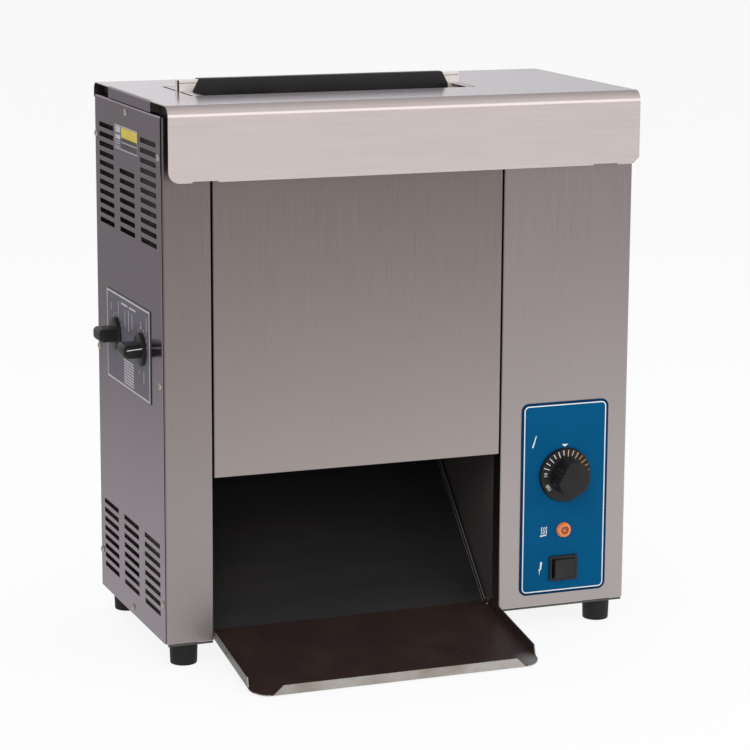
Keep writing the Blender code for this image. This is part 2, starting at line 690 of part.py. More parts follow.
def wall_cutters(side, start, length):
    """Holes for the shafts and slots for the guide rods in one inner wall."""
    made = []
    reach = GUIDE_ROD_RADIUS + FIT_GAP
    for name, centre_y in knob_places():
        away = -platen_side(name)
        for index, (y, z) in enumerate(shaft_places(centre_y)):
            label = side + "_" + name + "_shaft_hole_" + str(index)
            made.append(rod(label, SHAFT_CLEAR_RADIUS + FIT_GAP, length, (start, y, z)))
        for index, (y, z) in enumerate(guide_rod_places(name, centre_y)):
            near = y - away * reach
            far = y + away * (reach + PLATE_TRAVEL)
            low = (start, min(near, far), z - reach)
            high = (start + length, max(near, far), z + reach)
            made.append(block(side + "_" + name + "_guide_slot_" + str(index), low, high))
    return made


def make_inner_walls():
    top = FRAME_HEIGHT - SHEET - FIT_GAP
    for side, start in (("left", BAY_LEFT - WALL), ("right", BAY_RIGHT)):
        low = (start, WALL_START_Y, PAN_TOP)
        high = (start + WALL, INSIDE_BACK_Y, top)
        wall = block(side + "_inner_wall", low, high, DARK)
        for cutter in wall_cutters(side, start - OVERRUN, WALL + 2 * OVERRUN):
            cut(wall, cutter)
        if side == "right":
            for level, z in heater_heights():
                start_point = (start - OVERRUN, FEED_CENTRE_Y, z)
                radius = HEATER_RADIUS + 2 * FIT_GAP
                cut(wall, rod(level + "_heater_hole", radius, WALL + 2 * OVERRUN, start_point))


def make_bearing_bars():
    bottom = DRIVE_ROLLER_Z - BEARING_BAR_END
    top = IDLER_ROLLER_Z + BEARING_BAR_END
    half = BEARING_BAR_WIDTH / 2
    for side, start in (("left", BAR_LEFT_X), ("right", BAR_RIGHT_X)):
        for name, centre_y in knob_places():
            low = (start, centre_y - half, bottom)
            high = (start + BEARING_BAR_THICKNESS, centre_y + half, top)
            bar = block(name + "_" + side + "_bearing_bar", low, high, MACHINED)
            for index, (y, z) in enumerate(shaft_places(centre_y)):
                label = name + "_" + side + "_bore_" + str(index)
                length = BEARING_BAR_THICKNESS + 2 * OVERRUN
                cut(bar, rod(label, SHAFT_CLEAR_RADIUS, length, (start - OVERRUN, y, z)))


def make_heat_shields():
    low, high = plate_span()
    left = BAY_LEFT + FIT_GAP
    run = (BAY_RIGHT - BAY_LEFT - 2 * FIT_GAP, 0, 0)
    for name, centre_y in knob_places():
        away = -platen_side(name)
        y = centre_y + away * SHIELD_SETBACK
        fold = y + away * CHUTE_FLANGE
        points = [(left, fold, low), (left, y, low), (left, y, high), (left, fold, high)]
        folded(name + "_heat_shield", points, run, (0, 0, -1), GALVANISED)


# Hot plate

def make_platen():
    half = PLATEN_THICKNESS / 2
    low = (BAY_LEFT + FIT_GAP, FEED_CENTRE_Y - half, PLATEN_BOTTOM)
    high = (BAY_RIGHT - FIT_GAP, FEED_CENTRE_Y + half, PLATEN_TOP)
    platen = block("platen", low, high, CAST)
    tail = BAY_RIGHT + WALL + HEATER_TERMINAL
    for level, z in heater_heights():
        start = tail - HEATER_LENGTH
        bore = (start - FIT_GAP, FEED_CENTRE_Y, z)
        cut(platen, rod(level + "_heater_bore", HEATER_RADIUS + FIT_GAP, HEATER_LENGTH, bore))
        rod(level + "_heater_cartridge", HEATER_RADIUS, HEATER_LENGTH, (start, FEED_CENTRE_Y, z), "X", BRASS)


def make_platen_cap():
    half = CAP_DEPTH / 2
    start = FEED_START_X + CAP_END_GAP
    base = PLATEN_TOP + FIT_GAP
    top = TOP_Z + CAP_RISE
    y0 = FEED_CENTRE_Y - half
    y1 = FEED_CENTRE_Y + half
    points = [(start, y0, base), (start, y0, top), (start, y1, top), (start, y1, base)]
    folded("platen_cap", points, (FEED_WIDTH - 2 * CAP_END_GAP, 0, 0), (0, -1, 0), BRIGHT)


def make_release_sheet():
    """Coated cloth that hangs over the cap and down both faces of the hot plate."""
    skin = FIT_GAP + RELEASE_SHEET
    wide = PLATEN_THICKNESS / 2 + skin
    narrow = CAP_DEPTH / 2 + skin
    shoulder = PLATEN_TOP + 2 * skin
    neck = shoulder + wide
    top = TOP_Z + CAP_RISE + skin
    x = RELEASE_START_X
    half = [(wide, RELEASE_BOTTOM), (wide, shoulder), (narrow, neck), (narrow, top)]
    points = [(x, FEED_CENTRE_Y - offset, z) for offset, z in half]
    points += [(x, FEED_CENTRE_Y + offset, z) for offset, z in reversed(half)]
    folded("release_sheet", points, (RELEASE_WIDTH, 0, 0), (0, -1, 0), COATED_CLOTH, RELEASE_SHEET)


# Conveyors

def make_rollers():
    left = BAR_LEFT_X
    drum_start = BAY_LEFT + BELT_SIDE_GAP - 2 * FIT_GAP
    drum_end = BAY_RIGHT - BELT_SIDE_GAP + 2 * FIT_GAP
    for name, centre_y in knob_places():
        for kind, z in (("drive", DRIVE_ROLLER_Z), ("idler", IDLER_ROLLER_Z)):
            right = CHAIN_X + SPROCKET_STANDOFF if kind == "drive" else BAR_OUTER_X
            profile = [(0, right), (SHAFT_RADIUS, right), (SHAFT_RADIUS, drum_end), (ROLLER_RADIUS, drum_end)]
            profile += [(ROLLER_RADIUS, drum_start), (SHAFT_RADIUS, drum_start)]
            profile += [(SHAFT_RADIUS, left), (0, left)]
            turned(name + "_" + kind + "_roller", profile, (0, centre_y, z), "X", MACHINED)


def make_belts():
    steps = ROUND_SIDES // 2
    for name, centre_y in knob_places():
        loop = []
        for centre_z, begin in ((DRIVE_ROLLER_Z, 180.0), (IDLER_ROLLER_Z, 0.0)):
            for step in range(steps + 1):
                angle = math.radians(begin + 180.0 * step / steps)
                y = centre_y + BELT_INNER_RADIUS * math.cos(angle)
                loop.append((y, centre_z + BELT_INNER_RADIUS * math.sin(angle)))
        start = BAY_LEFT + BELT_SIDE_GAP
        ribbon(name + "_belt", loop, start, BELT_WIDTH, BELT_THICKNESS, BELTING)


def ribbon(name, loop, start, width, thickness, material):
    """A closed band round a loop of (y, z) points, thickened outwards."""
    bm = bmesh.new()
    row = [bm.verts.new((start, y, z)) for y, z in loop]
    edges = [bm.edges.new(pair) for pair in zip(row, row[1:] + row[:1])]
    made = bmesh.ops.extrude_edge_only(bm, edges=edges)
    moved = [item for item in made["geom"] if isinstance(item, bmesh.types.BMVert)]
    bmesh.ops.translate(bm, vec=(width, 0, 0), verts=moved)
    bmesh.ops.recalc_face_normals(bm, faces=bm.faces)
    lowest = min(bm.faces, key=lambda face: face.calc_center_median().z)
    if lowest.normal.z < 0:
        bmesh.ops.reverse_faces(bm, faces=bm.faces)
    obj = add_mesh(bm, name, material)
    thicken(obj, thickness)
    return obj


def make_pressure_plates():
    low, high = plate_span()
    start = BAY_LEFT + BELT_SIDE_GAP
    for name, centre_y in knob_places():
        way = platen_side(name)
        face = centre_y + way * PLATE_FACE
        back = face - way * PLATE_RETURN
        points = [(start, back, low), (start, face, low), (start, face, high), (start, back, high)]
        plate = folded(name + "_pressure_plate", points, (BELT_WIDTH, 0, 0), (0, 0, -1), GALVANISED,
                       PLATE_THICKNESS)
        reach = BAY_RIGHT - BAY_LEFT + 2 * WALL
        for index, (y, z) in enumerate(guide_rod_places(name, centre_y)):
            label = name + "_guide_rod_" + str(index)
            guide = rod(label, GUIDE_ROD_RADIUS, reach, (BAY_LEFT - WALL, y, z))
            join(plate, guide)
        put_origin(plate, (0, centre_y, KNOB_Z))


def cam_outline(centre_y, way):
    """Spiral cam: its radius falls evenly over the knob's turn, then climbs back."""
    outline = []
    least = CAM_REST_RADIUS - PLATE_TRAVEL
    for step in range(ROUND_SIDES):
        angle = 2 * math.pi * step / ROUND_SIDES
        if angle > 2 * math.pi - KNOB_TURN:
            radius = CAM_REST_RADIUS - PLATE_TRAVEL * (2 * math.pi - angle) / KNOB_TURN
        else:
            radius = CAM_REST_RADIUS - (CAM_REST_RADIUS - least) * angle / (2 * math.pi - KNOB_TURN)
        outline.append((centre_y + way * radius * math.cos(angle), KNOB_Z + radius * math.sin(angle)))
    return outline


def make_camshafts():
    seat = -KNOB_REACH / 2
    for name, centre_y in knob_places():
        length = BAR_OUTER_X - seat
        shaft = rod(name + "_camshaft", SHAFT_RADIUS, length, (seat, centre_y, KNOB_Z), "X", MACHINED)
        for label, x in (("left", BAY_LEFT + CAM_INSET), ("right", BAY_RIGHT - CAM_INSET - CAM_WIDTH)):
            outline = cam_outline(centre_y, platen_side(name))
            join(shaft, prism(name + "_" + label + "_cam", outline, "X", x, CAM_WIDTH))


def make_thickness_knobs():
    base = -LABEL_THICKNESS - 2 * FIT_GAP
    for name, centre_y in knob_places():
        knob = rod(name + "_thickness_knob", KNOB_RADIUS, KNOB_DISC, (base - KNOB_DISC, centre_y, KNOB_Z),
                   "X", BLACK, None, ROUND_SIDES)
        outline = rounded_rectangle(-KNOB_REACH, centre_y - KNOB_GRIP_LENGTH / 2,
                                    KNOB_REACH + base - KNOB_DISC / 2, KNOB_GRIP_LENGTH,
                                    KNOB_GRIP_THICKNESS / 2)
        half = KNOB_GRIP_THICKNESS / 2
        grip = prism(name + "_knob_grip", outline, "Z", KNOB_Z - half, KNOB_GRIP_THICKNESS)
        join(knob, grip)
        depth = KNOB_REACH / 2 + FIT_GAP
        cut(knob, rod(name + "_knob_bore", SHAFT_CLEAR_RADIUS, depth, (-depth, centre_y, KNOB_Z)))


# Chain drive

def chain_wheels():
    """Centre and turning sense of each wheel, in the order that the chain meets them."""
    front = FEED_CENTRE_Y - CONVEYOR_OFFSET
    rear = FEED_CENTRE_Y + CONVEYOR_OFFSET
    return (
        ((MOTOR_Y, MOTOR_Z), 1),
        ((rear, DRIVE_ROLLER_Z), -1),
        ((TENSIONER_Y, TENSIONER_Z), 1),
        ((front, DRIVE_ROLLER_Z), 1),
    )


def chain_heading(first, second, radius):
    """Heading of the straight run from one wheel to the next."""
    (centre_a, sense_a), (centre_b, sense_b) = first, second
    gap_y = centre_b[0] - centre_a[0]
    gap_z = centre_b[1] - centre_a[1]
    offset = radius * (sense_b - sense_a)
    return math.atan2(gap_z, gap_y) - math.asin(offset / math.hypot(gap_y, gap_z))


def chain_loop(radius):
    """Points of the chain's line: an arc on each wheel, joined by straight runs."""
    wheels = chain_wheels()
    loop = []
    for index, (centre, sense) in enumerate(wheels):
        before = chain_heading(wheels[index - 1], wheels[index], radius)
        after = chain_heading(wheels[index], wheels[(index + 1) % len(wheels)], radius)
        turn = (sense * (after - before)) % (2 * math.pi)
        count = max(2, round(turn / math.radians(20.0)))
        for step in range(count + 1):
            heading = before + sense * turn * step / count
            y = centre[0] + sense * radius * math.sin(heading)
            loop.append((y, centre[1] - sense * radius * math.cos(heading)))
    return loop


def make_chain():
    inner = CHAIN_PITCH_RADIUS
    start = CHAIN_X - CHAIN_WIDTH / 2
    chain = ribbon("drive_chain", chain_loop(inner), start, CHAIN_WIDTH, CHAIN_THICKNESS, MACHINED)
    chain.modifiers["wall"].offset = 0.0


def sprocket_outline(centre):
    """Teeth under the chain: tip and root by turns."""
    tip = CHAIN_PITCH_RADIUS - CHAIN_THICKNESS / 2 - CHAIN_GAP
    outline = []
    for step in range(SPROCKET_TEETH * 4):
        angle = 2 * math.pi * step / (SPROCKET_TEETH * 4)
        radius = tip if step % 4 < 2 else tip - TOOTH_DEPTH
        outline.append((centre[0] + radius * math.cos(angle), centre[1] + radius * math.sin(angle)))
    return outline


def sprocket(name, centre, hub_start, hub_end, bore_radius):
    """A toothed wheel with a hub; a bore radius of zero leaves it solid."""
    wheel = prism(name, sprocket_outline(centre), "X", CHAIN_X - SPROCKET_THICKNESS / 2,
                  SPROCKET_THICKNESS, MACHINED)
    hub_length = hub_end - hub_start
    join(wheel, rod(name + "_hub", HUB_RADIUS, hub_length, (hub_start, *centre)))
    if bore_radius > 0:
        length = hub_length + 2 * OVERRUN
        cut(wheel, rod(name + "_bore", bore_radius, length, (hub_start - OVERRUN, *centre)))
    put_origin(wheel, (CHAIN_X, *centre))
    return wheel


def make_sprockets():
    hub_start = BAR_OUTER_X + FIT_GAP
    hub_end = CHAIN_X + SPROCKET_THICKNESS / 2 + FIT_GAP
    for name, centre_y in knob_places():
        sprocket(name + "_sprocket", (centre_y, DRIVE_ROLLER_Z), hub_start, hub_end, SHAFT_CLEAR_RADIUS)
    wall_face = BAY_RIGHT + WALL + FIT_GAP
    stud_start = wall_face + BRACKET_THICKNESS
    sprocket("tensioner_sprocket", (TENSIONER_Y, TENSIONER_Z), stud_start + FIT_GAP, hub_end, SHAFT_CLEAR_RADIUS)
    half = TENSIONER_PLATE / 2
    low = (wall_face, TENSIONER_Y - half, TENSIONER_Z - half)
    bracket = block("tensioner_bracket", low, (stud_start, TENSIONER_Y + half, TENSIONER_Z + half), GALVANISED)
    stud_length = hub_end - wall_face
    join(bracket, rod("tensioner_stud", SHAFT_RADIUS, stud_length, (wall_face, TENSIONER_Y, TENSIONER_Z)))


def make_motor():
    face = BAR_OUTER_X + BRACKET_STANDOFF
    inner = face + BRACKET_THICKNESS
    half = BRACKET_DEPTH / 2
    top = MOTOR_Z + GEARBOX_SIZE / 2
    y = MOTOR_Y - half
    points = [(face + BRACKET_FOOT, y, PAN_TOP), (face, y, PAN_TOP), (face, y, top)]
    bracket = folded("motor_bracket", points, (0, BRACKET_DEPTH, 0), (0, 0, -1), GALVANISED, BRACKET_THICKNESS)
    hole = MOTOR_SHAFT_RADIUS + 2 * FIT_GAP
    cut(bracket, rod("motor_shaft_hole", hole, 2 * OVERRUN, (face - OVERRUN, MOTOR_Y, MOTOR_Z)))
    box_face = inner + FIT_GAP
    half = GEARBOX_SIZE / 2
    low = (box_face, MOTOR_Y - half, MOTOR_Z - half)
    high = (box_face + GEARBOX_LENGTH, MOTOR_Y + half, MOTOR_Z + half)
    motor = block("gearmotor", low, high, PAINTED)
    can = (box_face + GEARBOX_LENGTH - OVERRUN, MOTOR_Y, MOTOR_Z)
    join(motor, rod("motor_can", MOTOR_RADIUS, MOTOR_LENGTH + OVERRUN, can, "X", None, None, ROUND_SIDES))
    bore = (box_face - OVERRUN, MOTOR_Y, MOTOR_Z)
    depth = MOTOR_SHAFT_DEPTH + OVERRUN + FIT_GAP
    cut(motor, rod("motor_shaft_bore", MOTOR_SHAFT_RADIUS + FIT_GAP, depth, bore))
    hub_start = CHAIN_X - SPROCKET_THICKNESS / 2 - FIT_GAP
    hub_end = face - FIT_GAP
    wheel = sprocket("motor_sprocket", (MOTOR_Y, MOTOR_Z), hub_start, hub_end, 0)
    shaft_length = box_face + MOTOR_SHAFT_DEPTH - CHAIN_X
    join(wheel, rod("motor_shaft", MOTOR_SHAFT_RADIUS, shaft_length, (CHAIN_X, MOTOR_Y, MOTOR_Z)))


# Chute and tray

def make_chute():
    left = BAY_LEFT + CHUTE_SIDE_GAP
    right = BAY_RIGHT - CHUTE_SIDE_GAP
    back_y = CHUTE_FOOT_Y + CHUTE_RUN
    back_z = CHUTE_FOOT_Z + CHUTE_RUN * math.tan(CHUTE_ANGLE)
    bm = bmesh.new()
    places = [(CHUTE_FOOT_Y, CHUTE_FOOT_Z), (back_y, back_z), (back_y, back_z + CHUTE_BACK_HEIGHT)]
    row = [bm.verts.new((left, y, z)) for y, z in places]
    edges = [bm.edges.new(pair) for pair in zip(row, row[1:])]
    made = bmesh.ops.extrude_edge_only(bm, edges=edges)
    moved = [item for item in made["geom"] if isinstance(item, bmesh.types.BMVert)]
    bmesh.ops.translate(bm, vec=(right - left, 0, 0), verts=moved)
    sides = [edge for edge in bm.edges if abs(edge.verts[0].co.x - edge.verts[1].co.x) < FIT_GAP]
    sides = [edge for edge in sides if min(vert.co.y for vert in edge.verts) < back_y - FIT_GAP]
    made = bmesh.ops.extrude_edge_only(bm, edges=sides)
    moved = [item for item in made["geom"] if isinstance(item, bmesh.types.BMVert)]
    lift = (0, -CHUTE_FLANGE * math.sin(CHUTE_ANGLE), CHUTE_FLANGE * math.cos(CHUTE_ANGLE))
    bmesh.ops.translate(bm, vec=lift, verts=moved)
    bmesh.ops.recalc_face_normals(bm, faces=bm.faces)
    slope = min(bm.faces, key=lambda face: -face.calc_area())
    if slope.normal.z > 0:
        bmesh.ops.reverse_faces(bm, faces=bm.faces)
    chute = add_mesh(bm, "discharge_chute", DARK)
    thicken(chute, SHEET)
    stand_low = (left + SHEET, MOUTH_CUT_DEPTH, PAN_TOP)
    stand_z = CHUTE_FOOT_Z + (MOUTH_CUT_DEPTH - CHUTE_FOOT_Y) * math.tan(CHUTE_ANGLE) + SHEET / 2
    join(chute, block("chute_stand", stand_low, (right - SHEET, MOUTH_CUT_DEPTH + SHEET, stand_z)))


def make_tray():
    """Tray with up-bent sides and front lip, flat rounded corners, sloping to the front."""
    half = TRAY_WIDTH / 2
    corner = TRAY_CORNER
    arc = []
    for step in range(5):
        angle = math.radians(90.0 * step / 4)
        arc.append((half - corner + corner * math.cos(angle), corner - TRAY_LENGTH - corner * math.sin(angle)))
    outline = [(half, 0), (half, -TRAY_FLANGE_START)] + arc
    outline += [(-x, y) for x, y in reversed(outline)]
    bm = bmesh.new()
    bm.faces.new([bm.verts.new((x, y, 0)) for x, y in outline])
    bm.normal_update()
    bm.faces.ensure_lookup_table()
    if bm.faces[0].normal.z > 0:
        bmesh.ops.reverse_faces(bm, faces=bm.faces)
    sides = [edge for edge in bm.edges if abs(edge.verts[0].co.x - edge.verts[1].co.x) < FIT_GAP]
    sides = [edge for edge in sides if max(vert.co.y for vert in edge.verts) < -TRAY_FLANGE_START / 2]
    front = [edge for edge in bm.edges if max(vert.co.y for vert in edge.verts) < FIT_GAP - TRAY_LENGTH]
    made = bmesh.ops.extrude_edge_only(bm, edges=sides + front)
    moved = [item for item in made["geom"] if isinstance(item, bmesh.types.BMVert)]
    bmesh.ops.translate(bm, vec=(0, 0, TRAY_LIP), verts=moved)
    for vert in moved:
        if vert.co.y < FIT_GAP - TRAY_LENGTH:
            vert.co.x -= math.copysign(TRAY_LIP / 2, vert.co.x)
        elif vert.co.y < -TRAY_LENGTH / 2:
            vert.co.y += TRAY_LIP / 2
        else:
            vert.co.y -= TRAY_LIP / 2
    bmesh.ops.recalc_face_normals(bm, faces=bm.faces)
    base = max(bm.faces, key=lambda face: face.calc_area())
    if base.normal.z > 0:
        bmesh.ops.reverse_faces(bm, faces=bm.faces)
    tray = add_mesh(bm, "bun_tray", DARK, (TRAY_LEFT + half, TRAY_REAR_Y, TRAY_REAR_Z))
    tray.rotation_euler = (TRAY_SLOPE, 0, 0)
    thicken(tray, SHEET)


# Controls

def make_labels():
    left = CONTROL_X - LABEL_WIDTH / 2
    outline = rounded_rectangle(left, LABEL_BOTTOM, LABEL_WIDTH, LABEL_HEIGHT, LABEL_CORNER)
    back = -FIT_GAP - LABEL_THICKNESS
    label = prism("control_label", outline, "Y", back, LABEL_THICKNESS, BLUE)
    start = back - OVERRUN
    bush = BUSH_RADIUS + FIT_GAP
    cut(label, rod("label_bush_hole", bush, 2 * OVERRUN, (CONTROL_X, start, DIAL_Z), "Y"))
    lamp = LAMP_BODY_RADIUS + FIT_GAP
    cut(label, rod("label_lamp_hole", lamp, 2 * OVERRUN, (CONTROL_X, start, LAMP_Z), "Y"))
    cut(label, switch_opening("label_switch_hole", FIT_GAP))
    low_y = BODY_DEPTH / 2 - THICKNESS_LABEL_WIDTH / 2
    low_z = KNOB_Z - THICKNESS_LABEL_DROP - THICKNESS_LABEL_HEIGHT / 2
    low = (back, low_y, low_z)
    high = (-FIT_GAP, low_y + THICKNESS_LABEL_WIDTH, low_z + THICKNESS_LABEL_HEIGHT)
    plate = block("thickness_label", low, high, GREY_LABEL)
    for name, centre_y in knob_places():
        start = (-OVERRUN, centre_y, KNOB_Z)
        cut(plate, rod(name + "_label_hole", SHAFT_CLEAR_RADIUS, 2 * OVERRUN, start))


def make_thermostat():
    half = THERMOSTAT_WIDTH / 2
    face = SHEET + FIT_GAP
    low = (CONTROL_X - half, face, DIAL_Z - half)
    body = block("thermostat_body", low, (CONTROL_X + half, face + THERMOSTAT_DEPTH, DIAL_Z + half), BLACK)
    front = -FIT_GAP - LABEL_THICKNESS
    bush_length = face - front + OVERRUN
    join(body, rod("thermostat_bush", BUSH_RADIUS, bush_length, (CONTROL_X, front, DIAL_Z), "Y"))
    bore = SPINDLE_DEPTH + FIT_GAP + OVERRUN
    start = (CONTROL_X, front - OVERRUN, DIAL_Z)
    cut(body, rod("spindle_bore", SPINDLE_RADIUS + FIT_GAP, bore, start, "Y"))
    seat = front - FIT_GAP
    knob = rod("thermostat_knob", DIAL_RADIUS - DIAL_SKIRT / 2, DIAL_SKIRT, (CONTROL_X, seat - DIAL_SKIRT, DIAL_Z),
               "Y", BLACK, DIAL_RADIUS, 32)
    outline = []
    for step in range(ROUND_SIDES):
        angle = 2 * math.pi * step / ROUND_SIDES
        along = min(DIAL_GRIP_RADIUS * math.cos(angle), DIAL_FLAT)
        across = DIAL_GRIP_RADIUS * math.sin(angle)
        x = along * math.cos(DIAL_FLAT_ANGLE) - across * math.sin(DIAL_FLAT_ANGLE)
        z = along * math.sin(DIAL_FLAT_ANGLE) + across * math.cos(DIAL_FLAT_ANGLE)
        outline.append((CONTROL_X + x, DIAL_Z + z))
    grip_start = seat - DIAL_SKIRT - DIAL_GRIP_HEIGHT
    grip = prism("dial_grip", outline, "Y", grip_start, DIAL_GRIP_HEIGHT + DIAL_SKIRT / 2)
    join(knob, grip)
    spindle = SPINDLE_DEPTH + DIAL_SKIRT / 2
    start = (CONTROL_X, seat - DIAL_SKIRT / 2, DIAL_Z)
    join(knob, rod("dial_spindle", SPINDLE_RADIUS, spindle, start, "Y"))


def make_lamp():
    seat = -2 * FIT_GAP - LABEL_THICKNESS
    rise = seat - LAMP_RISE
    tail = LAMP_BODY_DEPTH
    profile = [(0, tail), (LAMP_BODY_RADIUS, tail), (LAMP_BODY_RADIUS, seat), (LAMP_RADIUS, seat)]
    profile += [(LAMP_RADIUS, seat - LAMP_RISE / 3), (LAMP_BODY_RADIUS, rise + LAMP_RISE / 5), (0, rise)]
    turned("heater_lamp", profile, (CONTROL_X, 0, LAMP_Z), "Y", AMBER, SMALL_SIDES)


def make_switch():
    seat = -2 * FIT_GAP - LABEL_THICKNESS
    front = seat - SWITCH_BEZEL
    half_width = SWITCH_WIDTH / 2
    half_height = SWITCH_HEIGHT / 2
    low = (CONTROL_X - half_width, front, SWITCH_Z - half_height)
    body = block("power_switch_body", low, (CONTROL_X + half_width, seat, SWITCH_Z + half_height), BLACK)
    inner_width = half_width - SWITCH_RIM
    inner_height = half_height - SWITCH_RIM
    low = (CONTROL_X - inner_width, seat - SWITCH_BEZEL / 2, SWITCH_Z - inner_height)
    high = (CONTROL_X + inner_width, SWITCH_DEPTH, SWITCH_Z + inner_height)
    join(body, block("switch_case", low, high))
    pocket_width = inner_width - SWITCH_WALL
    pocket_height = inner_height - SWITCH_WALL
    low = (CONTROL_X - pocket_width, front - OVERRUN, SWITCH_Z - pocket_height)
    high = (CONTROL_X + pocket_width, SWITCH_DEPTH / 2, SWITCH_Z + pocket_height)
    cut(body, block("switch_pocket", low, high))
    length = pocket_width - 2 * ROCKER_GAP
    outline = [(-length, -ROCKER_PROUD), (0, ROCKER_DIP - ROCKER_PROUD), (length, -ROCKER_PROUD)]
    outline += [(length, ROCKER_DIP), (0, pocket_height / 2), (-length, ROCKER_DIP)]
    height = 2 * (pocket_height - ROCKER_GAP / 2)
    rocker = prism("power_switch_rocker", outline, "Z", -height / 2, height, BLACK)
    rocker.location = (CONTROL_X, front + SWITCH_BEZEL / 2, SWITCH_Z)
    rocker.rotation_euler = (0, 0, ROCKER_TILT)


# Cooling fan, contactor and cable gland

def fan_centre_x():
    return (BAR_OUTER_X + CHASSIS_END_X) / 2


def make_fan():
    x = fan_centre_x()
    back = INSIDE_BACK_Y
    front = back - FAN_DEPTH
    half = FAN_SIZE / 2
    frame = block("fan_frame", (x - half, front, FAN_Z - half), (x + half, back, FAN_Z + half), BLACK)
    bore = half - FAN_SPOKE / 2
    deep = FAN_DEPTH + 2 * OVERRUN
    cut(frame, rod("fan_duct", bore, deep, (x, front - OVERRUN, FAN_Z), "Y", None, None, 32))
    arm = FAN_SPOKE / 2
    join(frame, block("fan_arm_level", (x - half + arm, back - arm, FAN_Z - arm), (x + half - arm, back, FAN_Z + arm)))
    join(frame, block("fan_arm_upright", (x - arm, back - arm, FAN_Z - half + arm), (x + arm, back, FAN_Z + half - arm)))
    boss = FAN_SPOKE
    join(frame, rod("fan_boss", FAN_HUB_RADIUS, boss, (x, back - boss, FAN_Z), "Y"))
    pin = FAN_DEPTH - OVERRUN
    join(frame, rod("fan_pin", FAN_PIN_RADIUS, pin, (x, back - pin, FAN_Z), "Y"))
    hub_start = front + OVERRUN
    hub_length = back - boss - FIT_GAP - hub_start
    rotor = rod("fan_rotor", FAN_HUB_RADIUS, hub_length, (x, hub_start, FAN_Z), "Y", BLACK, None, ROUND_SIDES)
    reach = bore - FAN_BORE_GAP
    root = FAN_HUB_RADIUS * FAN_ROOT_SHARE
    span = hub_length * FAN_SPAN_SHARE
    bm = bmesh.new()
    for index in range(FAN_BLADES):
        made = bmesh.ops.create_cube(bm, size=1.0)["verts"]
        bmesh.ops.scale(bm, vec=(FAN_BLADE, span, reach - root), verts=made)
        bmesh.ops.rotate(bm, verts=made, matrix=Matrix.Rotation(FAN_BLADE_PITCH, 3, "Z"))
        bmesh.ops.translate(bm, verts=made, vec=(0, 0, (reach + root) / 2))
        turn = Matrix.Rotation(2 * math.pi * index / FAN_BLADES, 3, "Y")
        bmesh.ops.rotate(bm, verts=made, matrix=turn)
    blades = add_mesh(bm, "fan_blades", None, (x, hub_start + hub_length / 2, FAN_Z), cutter=True)
    join(rotor, blades)
    bore_start = (x, hub_start - OVERRUN, FAN_Z)
    cut(rotor, rod("rotor_bore", FAN_PIN_RADIUS + FIT_GAP, FAN_DEPTH + OVERRUN, bore_start, "Y"))


def make_contactor():
    x = fan_centre_x() - CONTACTOR_WIDTH / 2
    low = (x, CONTACTOR_Y, PAN_TOP)
    high = (x + CONTACTOR_WIDTH, CONTACTOR_Y + CONTACTOR_DEPTH, PAN_TOP + CONTACTOR_HEIGHT)
    body = block("power_contactor", low, high, BLACK)
    step_low = (x - OVERRUN, CONTACTOR_Y - OVERRUN, high[2] - CONTACTOR_STEP)
    step_high = (x + CONTACTOR_WIDTH + OVERRUN, CONTACTOR_Y + CONTACTOR_STEP, high[2] + OVERRUN)
    cut(body, block("contactor_step_front", step_low, step_high))
    back_low = (x - OVERRUN, high[1] - CONTACTOR_STEP, high[2] - CONTACTOR_STEP)
    back_high = (x + CONTACTOR_WIDTH + OVERRUN, high[1] + OVERRUN, high[2] + OVERRUN)
    cut(body, block("contactor_step_back", back_low, back_high))


def make_gland():
    x = BODY_WIDTH - GLAND_X_INSET
    seat = BODY_DEPTH + FIT_GAP
    tip = BODY_DEPTH + GLAND_REACH
    tail = BODY_DEPTH - GLAND_TAIL
    profile = [(GLAND_BORE, tip), (GLAND_NECK, tip), (GLAND_RADIUS, tip - GLAND_REACH / 3), (GLAND_RADIUS, seat)]
    profile += [(GLAND_NECK, seat), (GLAND_NECK, tail), (GLAND_BORE, tail), (GLAND_BORE, tip)]
    turned("cord_gland", profile, (x, 0, GLAND_Z), "Y", BLACK, SMALL_SIDES)


make_base_pan()
make_columns()
make_front_cover()
make_rear_cover()
make_side_panels()
make_top_cover()
make_feet()
make_inner_walls()
make_bearing_bars()
make_heat_shields()
make_platen()
make_platen_cap()
make_release_sheet()
make_rollers()
make_belts()
make_pressure_plates()
make_camshafts()
make_thickness_knobs()
make_chain()
make_sprockets()
make_motor()
make_chute()
make_tray()
make_labels()
make_thermostat()
make_lamp()
make_switch()
make_fan()
make_contactor()
make_gland()
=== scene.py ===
"""Looks of a vertical contact toaster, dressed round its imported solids.

Sizes are metres. A piece is drawn in the casing's own axes, with zero at the
body's front lower left corner, and is then moved to its place in the model.
"""

import math

import bmesh
import bpy
from bpy.props import FloatProperty, FloatVectorProperty, IntProperty, PointerProperty
from mathutils import Matrix, Vector


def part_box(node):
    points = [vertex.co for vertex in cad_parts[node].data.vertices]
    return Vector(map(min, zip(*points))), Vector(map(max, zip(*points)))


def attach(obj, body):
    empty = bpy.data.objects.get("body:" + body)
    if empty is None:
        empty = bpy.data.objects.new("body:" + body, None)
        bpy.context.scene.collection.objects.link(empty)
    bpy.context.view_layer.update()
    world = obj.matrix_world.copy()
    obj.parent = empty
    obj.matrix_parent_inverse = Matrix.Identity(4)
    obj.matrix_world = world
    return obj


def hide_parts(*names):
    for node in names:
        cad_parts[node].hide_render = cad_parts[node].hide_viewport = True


bl_info = {
    "name": "Vertical Contact Toaster",
    "version": (1, 0, 0),
    "blender": (4, 5, 0),
    "location": "View3D > Sidebar > Toaster",
    "description": "Dresses a countertop vertical contact toaster round its packed solids",
    "category": "Object",
}

